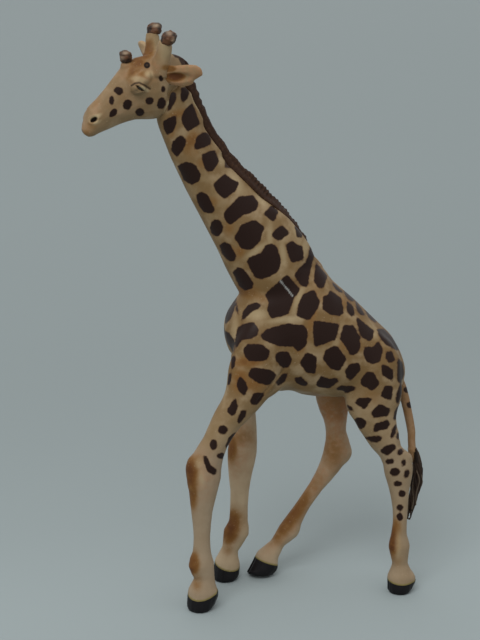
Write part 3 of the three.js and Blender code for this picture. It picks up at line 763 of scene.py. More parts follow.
def paint_body(skin):
    """What the coat material needs at each vertex of the body."""
    p, n = skin.p, skin.normals()
    z = p[:, 2]
    leg = nearest_leg(p)
    left_leg = (leg == 0) | (leg == 2)
    right_leg = (leg == 1) | (leg == 3)
    near_px = pixels(p)
    far_px = far_side_px(p, leg)
    facing = n @ BACK
    seen = smoothstep(-0.1, 0.1, facing)
    near_share = np.maximum(smoothstep(0, 0.25, facing), smoothstep(0.1, -0.1, n[:, 1]))
    near_share = np.where(left_leg, 1, np.where(right_leg, 0, near_share))
    patch = near_share * patch_distance(near_px, BODY_TABLES)
    patch = patch + (1 - near_share) * patch_distance(far_px, BODY_TABLES)
    # Inner sides of the legs and the belly are plain.
    outward = np.where(p[:, 1] > MIDDLE_Y, n[:, 1], -n[:, 1])
    plain = smoothstep(*INNER_LEG, z) * smoothstep(0.15, -0.25, outward)
    plain = np.maximum(plain, smoothstep(-0.55, -0.85, n[:, 2]))
    patch = patch + 2.5 * plain - 0.12 + 0.05 * smoothstep(*NECK_ROOT, z)
    from_far = right_leg | (near_share < 0.5)
    wash = dabs(np.where(from_far[:, None], far_px, near_px), BODY_WASHES)
    far_low = right_leg | ((p[:, 1] > MIDDLE_Y + 1) & (z < FAR_LEG[0]))
    far_wash = np.maximum(dabs(near_px, FAR_WASHES, 1.1), 0.6 * (1 - seen) * wash)
    trunk = smoothstep(*TRUNK_HIGH, z) * smoothstep(*TRUNK_LOW, z)
    mane_edge = 0.6 * np.exp(-((line_distance(near_px, MANE_EDGE) / MANE_EDGE_WIDTH) ** 4))
    leg_share = np.where(far_low, smoothstep(*FAR_LEG, z), smoothstep(*NEAR_LEG, z))
    return {
        "patch": skin.blurred(patch, 4),
        "wash": skin.blurred(np.where(far_low, far_wash, wash), 3),
        "gap": 0.15 + 0.65 * smoothstep(*GAP_HEIGHTS, z) + 0.2 * trunk,
        "pale": seen * np.maximum(dabs(near_px, BODY_PALE_AND_HIGHLIGHT), mane_edge),
        "leg": LEG_TONES[leg] * leg_share,
        "blush": seen * np.where(far_low, dabs(near_px, FAR_BLUSH_AND_LIGHT), dabs(near_px, NEAR_BLUSH)),
        "shade": seen * dabs(near_px, BODY_SHADE),
        "rim": coronet_rims(p),
        "scratch_and_glint": seen * smoothstep(0.9, 0.3, line_distance(near_px, SCRATCH_AND_GLINT)),
        "crest": seen * smoothstep(0.5, -0.5, outline_distance(near_px, MANE_STEP)),
    }


# Head
HEAD_AXES = np.array(
    Matrix.Rotation(math.radians(10), 3, "Z")
    @ Matrix.Rotation(math.radians(-21), 3, "Y")
    @ Matrix.Rotation(math.radians(7), 3, "X")
)
HEAD_VOXEL = 0.17
HEAD_GROW = 0.1
HEAD_SMOOTHING = 14
HORN_ROOT_SMOOTHING = 60
LID_RADIUS = 2.35
SHAFT_RISE = 1.1


def in_head(points):
    """Places along the head's own axes, from its joint."""
    return (np.asarray(points) - HEAD_JOINT) @ HEAD_AXES


def from_head(inner):
    return HEAD_JOINT + inner @ HEAD_AXES.T


def both_sides(skin):
    """Where each vertex, or its twin on the head's near side, shows, and the skin's normals."""
    inner = in_head(skin.p)
    near = inner[:, 1] < 0.15
    twin = from_head(inner * (1, -1, 1))
    return np.where(near[:, None], pixels(skin.p), pixels(twin)), skin.normals()


# Side view of the crest of hair behind the horns, in mm along the head's own axes, back and up.
CREST = [(3.4, 9.0), (3.6, 10.5), (4.8, 10.4), (6.2, 9.0), (7.2, 7.2), (7.6, 5.2), (7.4, 3.4), (5.4, 3.2)]
CREST_HALF = 1.5


def crest_solid():
    inner = np.array([(x, side * CREST_HALF, z) for side in (1, -1) for x, z in CREST])
    return from_head(inner), tube_faces(2, len(CREST))


def lower_crown(points):
    """Rounds off the crown behind the horns and draws the horn shafts up to their caps."""
    inner = in_head(points)
    x, y, z = inner.T
    drop = smoothstep(2.6, 3.6, x) * (0.8 + 1.2 * smoothstep(4.3, 6.0, x)) * smoothstep(6, 10.5, z)
    shaft = smoothstep(2.2, 2.8, np.abs(y)) * smoothstep(-3, -2, x)
    rise = SHAFT_RISE * shaft * smoothstep(14.2, 16.4, z)
    inner[:, 2] += rise - drop * (1 - shaft * smoothstep(12, 13, z))
    return from_head(inner)


head_points, head_faces = node_mesh(["head"], HEAD_GROW)
lids = [ball(node_centre(eye), LID_RADIUS) for eye in ("eye_left", "eye_right")]
head_skin = remeshed(*joined((lower_crown(head_points), head_faces), crest_solid(), *lids), HEAD_VOXEL)
head_skin.smooth(HEAD_SMOOTHING)
HORN_ROOTS = [(160, 66, 10, 9, 0, 1), (124, 63, 7, 4, 0, 1), (176, 56, 9, 9, 0, 1), (157, 76, 7, 4, 0, 1)]
head_skin.smooth(HORN_ROOT_SMOOTHING, dabs(both_sides(head_skin)[0], HORN_ROOTS, 2))
head_skin.p -= head_skin.normals() * HEAD_GROW
inner = in_head(head_skin.p)
head_crest = smoothstep(CREST_HALF + 0.5, CREST_HALF + 0.1, np.abs(inner[:, 1]))
head_crest *= smoothstep(3.4, 3.9, inner[:, 0]) * smoothstep(2.6, 3.2, inner[:, 2])

# Forms of the head, each a dab in px that ends with its height in mm: brow, cheek, lower lid and temple.
HEAD_FORMS = [
    (141, 79.5, 10, 4.5, 22, 0.35),
    (140, 95.5, 9, 4.5, 12, -0.3),
    (143, 87, 6, 2, 27, 0.12),
    (149, 74, 3, 2.6, 0, 0.2),
]
JAW_EDGE = (173, 92, 4, 9, 12, 1.3)
LID_DEPTH = 0.22
RIM_HEIGHT = 0.22
HOLLOW_DEPTH = 0.9


def sculpt_head(skin):
    """Raises and presses in brow, lids, nostrils and the jaw's rear edge."""
    q, n = both_sides(skin)
    move = sum(height * dabs(q, [(*dab, 1)]) for *dab, height in HEAD_FORMS)
    move -= LID_DEPTH * np.exp(-((line_distance(q, LID_LINE) / 0.9) ** 2))
    move -= HOLLOW_DEPTH * smoothstep(0.6, -0.9, outline_distance(q, LID_SLIT))
    hole = outline_distance(q, NOSTRIL)
    move -= HOLLOW_DEPTH * smoothstep(0.4, -1.6, hole)
    move += RIM_HEIGHT * np.exp(-((hole - 1.6) / 1.3) ** 2)
    move -= dabs(q, [JAW_EDGE], 2)
    skin.p = skin.p + n * skin.blurred(move, 1)[:, None]


sculpt_head(head_skin)
q, n = both_sides(head_skin)
front_q = pixels(head_skin.p)
facing = smoothstep(-0.1, 0.2, n @ BACK)
spot = np.linalg.norm(front_q - SPOT, axis=1)
head_ink = np.maximum.reduce([
    0.8 * np.exp(-((line_distance(q, LID_LINE) / 1.05) ** 4)),
    smoothstep(0.3, -0.5, outline_distance(q, LID_SLIT)),
    smoothstep(0.4, -0.5, outline_distance(q, NOSTRIL)),
    # The spot is dark with a paler middle, which is a painted highlight.
    facing * (smoothstep(3.6, 2.8, spot) - 0.14 * smoothstep(1.8, 0.6, spot)),
])
head_paint = {
    "patch": head_skin.blurred(patch_distance(q, [HEAD_PATCHES]), 2),
    "wash": np.maximum(dabs(q, HEAD_WASHES), facing * dabs(front_q, FRONT_WASHES, 1.8)),
    "gap": np.full(len(q), 0.45),
    "crest": np.maximum(head_crest, facing * smoothstep(0.6, -0.6, outline_distance(front_q, POLL))),
    "ink": head_ink,
    "pale": dabs(q, HEAD_PALE_AND_HIGHLIGHTS, 1.6),
    "shade": dabs(q, HEAD_SHADE),
    "blush": dabs(q, HEAD_BLUSH),
    "leg": np.full(len(q), 0.3),
}


# Where the skin is moved to meet the picture

# A nudge is a dab's centre, half sizes and tilt, then how far it moves right and down in px.
NEAR_NUDGES = [
    (347, 404, 9, 12, 10, -5.0, 0),
    (411, 463, 9, 17, 8, 4.4, 0),
    (188, 464, 7, 9, 0, -2.2, -1),
    (224, 392, 8, 14, 20, 1.8, 0),
    (191, 506, 6, 18, 0, -1.5, 0),
    (378, 460, 7, 12, 0, 2.8, 0),
    (402, 441, 4, 6, 0, -2.2, 0),
    (409, 455, 5, 6, 0, 2.2, 0),
    (405, 447.5, 4.5, 4, 0, -2.8, 0),
    (399, 402, 6, 16, 0, 3.0, 0),
    (204, 114, 5, 7, -27, -2.0, 0),
    (222, 327, 6, 11, 0, -1.8, 0),
    (414, 590, 6, 5, 0, -1.0, -1.8),
    (415, 579, 4, 5, 0, 1.4, 0),
    (216, 610, 5, 4, 0, -0.6, -1.0),
    (217, 594, 4, 8, 0, 1.7, 0),
]
FAR_NUDGES = [
    (350, 451, 7, 9, 0, 1.8, 0),
    (229, 502, 5, 24, 0, -1.6, 0),
    (257, 578, 11, 5, 0, 0, -3.8),
    (276, 571, 4, 6, 0, 3.0, 0),
    (348, 459, 5, 7, 0, 2.8, 0),
    (297, 534, 5, 7, 0, 1.7, 0.3),
    (223, 531, 5, 9, 0, -1.8, 0),
    (287, 547, 4, 4, 0, -1.2, -0.5),
]
TAIL_NUDGES = [(416.5, 444, 4, 9, 0, -1.4, 0), (409, 446, 3.5, 9, 0, -0.8, 0)]
MANE_NUDGES = [
    (204, 112, 6, 10, -27, 0.9, 0),
    (214, 123, 3, 5, -27, -1.2, 0),
    (271, 192, 5, 7, 0, -1.6, 0.9),
    (285, 205, 4, 4, 0, -0.9, 0.5),
    (313, 252, 5, 9, -30, -1.8, 1.2),
]
BELLY_NUDGES = [(290, 393, 7, 5, 0, 0, -2.2)]
# The back of the neck is fuller along this line in px, by this much.
NECK_BACK = [(190, 94), (199, 111), (210, 131), (217, 143), (220.5, 149)]
NECK_BACK_FULL = 3.4
NECK_BACK_REACH = 5
# The withers rise along this line in px and cover the mane's lower end. The rise is given in px at each y.
WITHERS = [
    (268, 203), (277.5, 214.5), (283.8, 222.7), (290.2, 231.8), (295.6, 240.9),
    (301, 248.2), (307.5, 257.3), (312, 262.7), (321, 268.5), (333, 282),
]
WITHERS_RISE = [
    (198, 0), (207, 2.5), (214.5, 4.4), (222.7, 6.1), (231.8, 7.0), (240.9, 7.7),
    (248.2, 7.9), (253, 7.5), (259, 6.2), (262.7, 4.6), (268.5, 1.2), (280, 0),
]
WITHERS_REACH = 13.0
WITHERS_OUT = 0.815 * RIGHT + 0.58 * UP
ELBOW_FOLD = [(286, 367), (275, 381), (267, 390), (258, 401)]
ELBOW_FOLD_DEPTH = 0.35
SIDE_CHANGE = 2


def nudge(skin, table, weight):
    q = pixels(skin.p)
    for *dab, right, down in table:
        share = weight * dabs(q, [(*dab, 1)])
        skin.shift(share * right, RIGHT)
        skin.shift(share * -down, UP)


def near_line(skin, line, reach):
    """How near each vertex shows to a line in px, from 1 on it to 0."""
    return np.exp(-0.7 * (line_distance(pixels(skin.p), line) / reach) ** 2.6)


near_side = smoothstep(MIDDLE_Y + SIDE_CHANGE, MIDDLE_Y - SIDE_CHANGE, body.p[:, 1])
nudge(body, NEAR_NUDGES, near_side)
nudge(body, FAR_NUDGES, 1 - near_side)
nudge(body, BELLY_NUDGES, 1)
body.shift(NECK_BACK_FULL * near_line(body, NECK_BACK, NECK_BACK_REACH), RIGHT)
rise = np.interp(pixels(body.p)[:, 1], *zip(*WITHERS_RISE))
body.shift(rise * near_line(body, WITHERS, WITHERS_REACH), WITHERS_OUT)
fold = near_side * np.exp(-(line_distance(pixels(body.p), ELBOW_FOLD) ** 2))
body.p = body.p - body.normals() * (ELBOW_FOLD_DEPTH * fold)[:, None]


# The coronet's line on each hoof, in px. A line of sight that misses the leg is moved in by a share.
CORONET_LINES = {
    "front_left": [(188.8, 597), (199, 601.7), (217.3, 592)],
    "front_right": [(217, 566), (226, 571), (236, 571)],
    "rear_left": [(388.6, 580.6), (400, 585.5), (415.3, 580)],
    "rear_right": [(255.3, 557), (263, 562), (277.8, 565)],
}
STEP_IN = 0.08


def coronet_planes():
    """A point and an upward normal of the plane between each leg and its hoof."""
    tree = body.tree()
    planes = {}
    for leg, line in CORONET_LINES.items():
        hits = []
        middle = node_centre("hoof_" + leg)
        middle_x = pixels(middle)[0]
        for x, y in line:
            hit = None
            while hit is None:
                hit = tree.ray_cast(Vector(EYE), ray(x, y))[0]
                x += (middle_x - x) * STEP_IN
            hits.append(np.array(hit))
        normal = np.cross(hits[1] - hits[0], hits[2] - hits[0])
        normal = normal / np.linalg.norm(normal) * (1 if normal[2] > 0 else -1)
        middle[2] = hits[0][2] + ((hits[0] - middle)[:2] @ normal[:2]) / normal[2]
        planes[leg] = (middle, normal)
    return planes


coronets = coronet_planes()
body_paint = paint_body(body)


# Materials
def linear(r, g, b):
    """A colour named as it shows, from 0 to 255."""
    return tuple(((v / 255 + 0.055) / 1.055) ** 2.4 for v in (r, g, b)) + (1.0,)


def put(socket, value):
    """Sets a socket of a shader node, or links another socket to it."""
    if isinstance(value, bpy.types.NodeSocket):
        socket.id_data.links.new(value, socket)
    else:
        socket.default_value = value


def add_node(tree, kind, inputs, output=0, **settings):
    """Adds a shader node and gives back one of its outputs."""
    node = tree.nodes.new(kind)
    for key, value in settings.items():
        setattr(node, key, value)
    for key, value in inputs.items():
        put(node.inputs[key], value)
    return node.outputs[output]


class Material:
    """A node material, with short calls to add nodes and to lay colours over each other."""

    def __init__(self, name, colour, roughness, specular=0.5):
        self.data = bpy.data.materials.new(name)
        self.data.use_nodes = True
        self.inputs = self.data.node_tree.nodes["Principled BSDF"].inputs
        self.inputs["Base Color"].default_value = colour
        self.inputs["Roughness"].default_value = roughness
        self.inputs["Specular IOR Level"].default_value = specular
        self.colour = colour
        self.place = self.add("ShaderNodeNewGeometry", {}, "Position")

    def add(self, kind, inputs, output=0, **settings):
        return add_node(self.data.node_tree, kind, inputs, output, **settings)

    def attribute(self, name):
        return self.add("ShaderNodeAttribute", {}, "Fac", attribute_name=name)

    def noise(self, per_mm, detail):
        """Noise from 0 to 1, with about per_mm lumps in each mm."""
        return self.add("ShaderNodeTexNoise", {
            "Vector": self.place, "Scale": per_mm / MM, "Detail": detail,
        })

    def math(self, operation, a, b):
        return self.add("ShaderNodeMath", {0: a, 1: b}, operation=operation)

    def times(self, name, share):
        """An attribute times a share."""
        return self.math("MULTIPLY", self.attribute(name), share)

    def ramp(self, value, low, high, out_low=0.0, out_high=1.0):
        return self.add("ShaderNodeMapRange", {
            "Value": value, "From Min": low, "From Max": high, "To Min": out_low, "To Max": out_high,
        }, interpolation_type="SMOOTHSTEP")

    def cover(self, share, colour):
        """Lays a share of a colour over what is there."""
        self.colour = self.add("ShaderNodeMix", {0: share, 6: self.colour, 7: colour}, 2, data_type="RGBA")
        put(self.inputs["Base Color"], self.colour)

    def bump(self, height, distance):
        put(self.inputs["Normal"], self.add("ShaderNodeBump", {
            "Height": height, "Distance": distance * MM, "Strength": 1.0,
        }))


TAN = linear(136, 113, 80)
PALE_TAN = linear(151, 129, 98)
GAP_OCHRE = linear(117, 91, 56)
OCHRE = linear(126, 90, 48)
RUST = linear(104, 66, 30)
DEEP_RUST = linear(84, 48, 22)
LEG_TAN = linear(150, 132, 109)
LEG_PALE = linear(188, 167, 136)
BLUSH = linear(160, 114, 80)
RIM = linear(126, 113, 66)
# Grey of the worn line and of its painted glint.
SCRATCH_AND_GLINT_GREY = linear(150, 150, 146)
SHADE = linear(98, 84, 58)
CREAM = linear(186, 168, 132)
PATCH = linear(36, 20, 14)
PATCH_EDGE = linear(70, 42, 26)
INK = linear(26, 16, 12)
HAIR = linear(52, 34, 24)
HAIR_LIGHT = linear(70, 49, 34)
DARK_HAIR = linear(32, 27, 24)
FLECK = linear(190, 172, 146)
HAIR_PALE = linear(140, 124, 104)
HORN = linear(92, 58, 36)
HORN_DARK = linear(38, 24, 17)
HORN_LIGHT = linear(90, 58, 36)
HORN_FLECK = linear(150, 120, 92)
HORN_GLINT = linear(178, 154, 128)
NAIL = linear(13, 10, 13)
EYE_BASE = linear(16, 11, 10)
EYE_DARK = linear(14, 10, 9)
EYE_LIGHT = linear(30, 18, 12)

# Coat: tan, washes and tints over it, then the dark patches and the drawn lines
coat = Material("coat", TAN, roughness=0.45, specular=0.15)
grain = coat.noise(1.6, 3)
coat.cover(coat.ramp(coat.noise(0.12, 3), 0.4, 0.62), PALE_TAN)
coat.cover(coat.ramp(coat.attribute("leg"), 0, 1), LEG_TAN)
coat.cover(coat.ramp(coat.attribute("leg"), 1, 2), LEG_PALE)
coat.cover(coat.times("blush", coat.ramp(coat.noise(0.6, 3), 0.3, 0.65, 0.35, 1.0)), BLUSH)
coat.cover(coat.times("gap", coat.ramp(coat.noise(0.2, 4), 0.34, 0.58)), GAP_OCHRE)
wash = coat.times("wash", coat.ramp(coat.noise(0.5, 4), 0.25, 0.6, 0.72, 1.0))
for low, high, colour in ((0.0, 0.7, OCHRE), (0.35, 1.05, RUST), (0.95, 1.4, DEEP_RUST)):
    coat.cover(coat.ramp(wash, low, high), colour)
for name, colour in (("shade", SHADE), ("pale", CREAM), ("rim", RIM)):
    coat.cover(coat.attribute(name), colour)
coat.cover(coat.ramp(grain, 0.62, 0.8, 0.0, 0.35), FLECK)
distance = coat.math("ADD", coat.attribute("patch"), coat.ramp(coat.noise(0.9, 2), 0.2, 0.8, -0.14, 0.14))
coat.cover(coat.ramp(distance, 0.35, 0.0, 0.0, 0.7), PATCH_EDGE)
dark = coat.ramp(distance, 0.06, -0.06)
coat.cover(dark, PATCH)
for name, colour in (("scratch_and_glint", SCRATCH_AND_GLINT_GREY), ("ink", INK), ("crest", HAIR)):
    coat.cover(coat.attribute(name), colour)
put(coat.inputs["Roughness"], coat.ramp(dark, 0, 1, 0.5, 0.4))
coat.bump(grain, 0.03)

# Hair of the mane and the tuft
hair = Material("hair", HAIR, roughness=0.55, specular=0.1)
hair_grain = hair.noise(1.2, 3)
hair.cover(hair.ramp(hair_grain, 0.5, 0.75), HAIR_LIGHT)
hair.cover(hair.attribute("pale"), HAIR_PALE)
hair.cover(hair.attribute("dark"), DARK_HAIR)
hair.bump(hair_grain, 0.05)

# Horn caps
horn = Material("horn", HORN, roughness=0.5, specular=0.25)
horn.colour = HORN_DARK
flecks = horn.noise(0.75, 3)
horn.cover(horn.ramp(horn.noise(0.45, 3), 0.4, 0.6), HORN_LIGHT)
horn.cover(horn.ramp(flecks, 0.6, 0.72, 0.0, 0.45), HORN_FLECK)
horn.cover(horn.attribute("pale"), HORN_GLINT)
horn.bump(flecks, 0.12)

# Hooves
nail = Material("nail", NAIL, roughness=0.4, specular=0.25)
nail_grain = nail.noise(0.8, 3)
put(nail.inputs["Roughness"], nail.ramp(nail_grain, 0.3, 0.7, 0.35, 0.5))
nail.bump(nail_grain, 0.02)

# Eyes
eye = Material("eye", EYE_BASE, roughness=0.08)
eye.colour = EYE_DARK
eye.cover(eye.ramp(eye.noise(0.9, 2), 0.4, 0.6), EYE_LIGHT)

# Pieces
SLOTS = {"coat": coat, "hair": hair, "horn": horn, "nail": nail, "eye": eye}


def dress(name, node, slot, solid, paint=None, normals=None):
    """A piece in place of a CAD node, kept in the CAD model's box. paint has values for each vertex."""
    points, faces = solid
    me = bpy.data.meshes.new(name)
    me.from_pydata(np.clip(np.asarray(points) * MM, *cad_box).tolist(), [], faces)
    me.polygons.foreach_set("use_smooth", [True] * len(me.polygons))
    me.materials.append(SLOTS[slot].data)
    for key, values in (paint or {}).items():
        layer = me.attributes.new(key, "FLOAT", "POINT")
        layer.data.foreach_set("value", np.asarray(values, np.float32))
    if normals is not None:
        me.normals_split_custom_set(normals)
    ob = bpy.data.objects.new(name, me)
    bpy.context.scene.collection.objects.link(ob)
    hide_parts(node)
    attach(ob, "root")


# Where the body is cut: the neck's seam, and how far each cut reaches from its middle.
NECK_SEAM = (4.547, MIDDLE_Y, 112.856)
NECK_REACH = 22
LEG_REACH = {"front": 9.0, "rear": 10.5}
CORONET_REACH = 7.6
LEAST_UP = 0.5
SEAM_CLEAR = 0.02
CUT_ERROR = 1e-4
# A part of the body with fewer vertices, or that ends below this height, is left out.
LEAST_VERTICES = 100
FOOT_TOP = 9


def flat_face(node):
    """Middle and normal of the largest flat face of a node that looks up, which is its seam."""
    found = {}
    for f in nodes[node].data.polygons:
        if f.normal.z > LEAST_UP:
            key = tuple(round(v, 1) for v in f.normal) + (round(f.normal.dot(f.center) / MM, 1),)
            found.setdefault(key, []).append(f)
    faces = max(found.values(), key=lambda fs: sum(f.area for f in fs))
    area = sum(f.area for f in faces)
    middle = sum((f.center * f.area for f in faces), Vector()) / area / MM
    normal = sum((f.normal * f.area for f in faces), Vector()).normalized()
    return middle, normal


def seams():
    """Middle, normal and reach of each cut."""
    yield Vector(NECK_SEAM), Vector(NECK_ALONG), NECK_REACH
    for leg in LEGS:
        yield (*flat_face(leg + "_leg"), LEG_REACH[leg.split("_")[0]])
    for point, normal in coronets.values():
        yield Vector(point), Vector(normal), CORONET_REACH


def layered(skin, paint):
    """A bmesh of a skin and its vertex layers, which carry the paint and the normals."""
    bm = bmesh.new()
    layers = [bm.verts.layers.float.new(key) for key in (*paint, "nx", "ny", "nz")]
    values = np.column_stack([*paint.values(), skin.normals()])
    verts = [bm.verts.new(p) for p in skin.p.tolist()]
    for v, row in zip(verts, values.tolist()):
        for layer, value in zip(layers, row):
            v[layer] = value
    for quad in skin.quads.tolist():
        bm.faces.new([verts[i] for i in quad])
    return bm, layers


def rim_loops(edges):
    """Closed loops of rim vertices, each turning so that a face on it looks out."""
    after = {}
    for e in edges:
        loop = e.link_loops[0]
        after[loop.link_loop_next.vert] = loop.vert
    loops = []
    while after:
        start = next(iter(after))
        rim, v = [start], after.pop(start)
        while v is not start and v in after:
            rim.append(v)
            v = after.pop(v)
        loops.append(rim)
    return loops


def part_of(members, normal_layers):
    """Solid and face-corner normals of a part, closed with a flat face on each rim."""
    index = {v: i for i, v in enumerate(members)}
    faces = list(dict.fromkeys(f for v in members for f in v.link_faces))
    corners = [[index[v] for v in f.verts] for f in faces]
    normals = [tuple(v[layer] for layer in normal_layers) for f in faces for v in f.verts]
    edges = dict.fromkeys(e for f in faces for e in f.edges)
    for rim in rim_loops([e for e in edges if len(e.link_faces) == 1]):
        corners.append([index[v] for v in rim])
        a = np.array([v.co for v in rim])
        n = np.cross(a, np.roll(a, -1, 0)).sum(0)
        normals += [tuple(n / np.linalg.norm(n))] * len(rim)
    return (np.array([v.co for v in members]), corners), normals


def part_along(bm, point, normal, reach):
    """Cuts a mesh open along a plane near a point."""
    # No vertex lies in the plane itself, so that the cut is one clean line.
    for v in bm.verts:
        apart = (v.co - point).dot(normal)
        if abs(apart) < SEAM_CLEAR and (v.co - point).length < reach + 0.5:
            v.co += normal * (math.copysign(SEAM_CLEAR, apart) - apart)
    faces = [f for f in bm.faces if (f.verts[0].co - point).length < reach]
    geometry = list({e for f in faces for e in f.edges} | {v for f in faces for v in f.verts}) + faces
    cut = bmesh.ops.bisect_plane(bm, geom=geometry, plane_co=point, plane_no=normal, dist=CUT_ERROR)
    bmesh.ops.split_edges(bm, edges=[e for e in cut["geom_cut"] if isinstance(e, bmesh.types.BMEdge)])


def connected(bm):
    """The vertices of each connected part."""
    found = set()
    for start in bm.verts:
        if start in found:
            continue
        found.add(start)
        members = [start]
        for v in members:
            for e in v.link_edges:
                other = e.other_vert(v)
                if other not in found:
                    found.add(other)
                    members.append(other)
        yield members


def cut_body():
    """Parts the body at the seams of its CAD pieces and closes every part."""
    bm, layers = layered(body, body_paint)
    for seam in seams():
        part_along(bm, *seam)
    boxes = {name: (np.array(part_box(name)) / MM).ravel() for name in BODY_NODES}
    for members in connected(bm):
        co = np.array([v.co for v in members])
        if len(members) < LEAST_VERTICES or co[:, 2].max() < FOOT_TOP:
            continue
        box = np.concatenate([co.min(0), co.max(0)])
        name = min(boxes, key=lambda k: np.abs(boxes[k] - box).sum())
        paint = {key: [v[layer] for v in members] for key, layer in zip(body_paint, layers)}
        solid, normals = part_of(members, layers[-3:])
        dress(name + "_skin", name, "coat", solid, paint, normals)
    bm.free()


def closed_below(skin, point, normal):
    """Solid and normals of what lies below a plane, with a flat face on the cut."""
    bm, layers = layered(skin, {})
    bmesh.ops.bisect_plane(
        bm, geom=bm.verts[:] + bm.edges[:] + bm.faces[:],
        plane_co=point, plane_no=normal, clear_outer=True, dist=CUT_ERROR,
    )
    made = part_of(bm.verts[:], layers)
    bm.free()
    return made


# Trunk, neck, legs and head
cut_body()
dress("head_skin", "head", "coat", head_skin.solid(), head_paint)

# Ears
EAR_LIFT = 2.6
EAR_ROOT_IN = 3.0
RIGHT_EAR_RISE = 0.8
RIGHT_EAR_MIDDLE = 139.6
RIGHT_EAR_WIDER = 0.6
for side in ("left", "right"):
    name = "ear_" + side
    ear = node_skin(name, grow=0.15, voxel=0.16, smoothing=10)
    q, n = both_sides(ear)
    if side == "left":
        ear.shift(EAR_LIFT * smoothstep(180, 203, q[:, 0]), UP)
        ear.shift(-EAR_ROOT_IN * smoothstep(175, 166, q[:, 0]), RIGHT)
        nudge(ear, EAR_NUDGES, 1)
        q = pixels(ear.p)
        seen = smoothstep(0, 0.3, n @ BACK)
        ear.p = ear.p - n * (seen * dabs(q, [EAR_HOLLOW], 1.6))[:, None]
        ear_wash = seen * dabs(q, EAR_WASHES, 2.4)
    else:
        ear.p = ear.p + RIGHT_EAR_RISE * UP
        x, y = pixels(ear.p).T
        ear.shift(RIGHT_EAR_WIDER * (x - RIGHT_EAR_MIDDLE) * smoothstep(54, 46, y), RIGHT)
        ear_wash = 0.25 * dabs(q, EAR_WASHES, 1.6)
    dress(name + "_skin", name, "coat", ear.solid(), {
        "patch": np.full(len(q), FAR),
        "wash": ear_wash,
        "gap": np.full(len(q), 0.3),
        "pale": (0.15 if side == "left" else 0.5) * smoothstep(0.5, 0.1, ear_wash),
        "blush": np.full(len(q), 1.0),
    })

# Horn caps
FRONT_CAP_SIZE = 0.94
CAP_HEIGHT = 0.8
CAP_MOVE = 0.25
CAP_BUMP = 0.3
for name in ("ossicone_cap_left", "ossicone_cap_right", "ossicone_cap_front"):
    cap = node_skin(name, grow=0.12, voxel=0.17, smoothing=6)
    if name == "ossicone_cap_front":
        middle = cap.p.mean(0)
        cap.p = middle + FRONT_CAP_SIZE * (cap.p - middle)
    else:
        inner = in_head(cap.p)
        top = inner[:, 2].max()
        inner[:, 2] = top - CAP_HEIGHT * (top - inner[:, 2])
        cap.p = from_head(inner) + CAP_MOVE * RIGHT
    bumps = [noise.noise(Vector(p) * 0.8) + 0.5 * noise.noise(Vector(p) * 1.9) for p in cap.p]
    cap.p = cap.p + cap.normals() * (CAP_BUMP * np.array(bumps))[:, None]
    glints = smoothstep(0, 0.3, cap.normals() @ BACK) * dabs(pixels(cap.p), CAP_GLINTS)
    dress(name + "_skin", name, "horn", cap.solid(), {"pale": glints})

# Eyes
EYE_RADIUS = 1.66
for name in ("eye_left", "eye_right"):
    dress(name + "_ball", name, "eye", ball(node_centre(name), EYE_RADIUS))

# Mane, broad at its root and thin at its notched edge
NOTCH_PITCH = 1.4
mane = node_skin("mane", grow=0.15, voxel=0.22, smoothing=10)
body_tree = body.tree()
height = np.array([body_tree.find_nearest(Vector(p))[3] for p in mane.p])
z = mane.p[:, 2].copy()
heights = np.arange(z.min(), z.max(), 2.0)
middle = np.interp(z, heights, middle_line(mane.p, heights, 1.0)[:, 1])
root = 0.35 + smoothstep(152, 138, z) * smoothstep(120, 136, z)
mane.p[:, 1] = middle + (mane.p[:, 1] - middle) * (0.75 + root * smoothstep(2.4, 0.1, height))
along = (mane.p - HEAD_JOINT) @ NECK_ALONG
notch = 0.03 + 0.1 * smoothstep(1.0, 2.2, height)
notch *= smoothstep(0, -40, along) * (0.3 + 0.7 * smoothstep(150, 138, z))
nudge(mane, MANE_NUDGES, 1)
mane.p += mane.normals() * (notch * np.sin(along * 2 * math.pi / NOTCH_PITCH))[:, None]
dress("mane_hair", "mane", "hair", mane.solid())

# Hooves
HOOF_GROW = 0.15
HOOF_VOXEL = 0.22
HOOF_SMOOTHING = 30
SMOOTH_BELOW = 16
CLEFT_HALF = 0.42
CLEFT_DEPTH = 0.7
for leg in LEGS:
    name = "hoof_" + leg
    hoof = remeshed(*joined(node_mesh([leg + "_leg"], HOOF_GROW), foot(leg, HOOF_GROW)), HOOF_VOXEL)
    hoof.smooth(HOOF_SMOOTHING, np.where(hoof.p[:, 2] < SMOOTH_BELOW, 0.5, 0.0))
    hoof.p -= hoof.normals() * HOOF_GROW
    middle = node_centre(name)
    front = smoothstep(1.0, 2.5, middle[0] - hoof.p[:, 0])
    cleft = front * np.exp(-(((hoof.p[:, 1] - middle[1]) / CLEFT_HALF) ** 2))
    hoof.p -= hoof.normals() * (CLEFT_DEPTH * cleft)[:, None]
    hoof.p[:, 2] = np.maximum(hoof.p[:, 2], 0.0)
    nudge(hoof, NEAR_NUDGES if "left" in leg else FAR_NUDGES, 1)
    solid, normals = closed_below(hoof, *coronets[leg])
    dress(name + "_nail", name, "nail", solid, None, normals)

# Tail and tuft
STRAND_SIDES = 8


def strand(points, radii):
    """A closed tapering rod along some points."""
    points = np.asarray(points, float)
    along = np.gradient(points, axis=0)
    along /= np.linalg.norm(along, axis=1, keepdims=True)
    first = np.cross(along, BACK)
    first /= np.linalg.norm(first, axis=1, keepdims=True)
    second = np.cross(along, first)
    rings = [
        point + radius * (one * math.cos(t) + two * math.sin(t))
        for point, radius, one, two in zip(points, radii, first, second)
        for t in angles(STRAND_SIDES)
    ]
    return rings, tube_faces(len(points), STRAND_SIDES)


tuft_points = np.array(node_mesh(["tail_tuft"])[0])
tuft_heights = np.linspace(tuft_points[:, 2].min() - 0.5, tuft_points[:, 2].max() + 1.5, 60)
tuft_line = np.column_stack([middle_line(tuft_points, tuft_heights, 1.5), tuft_heights])[::-1]
tuft_px = pixels(tuft_line)


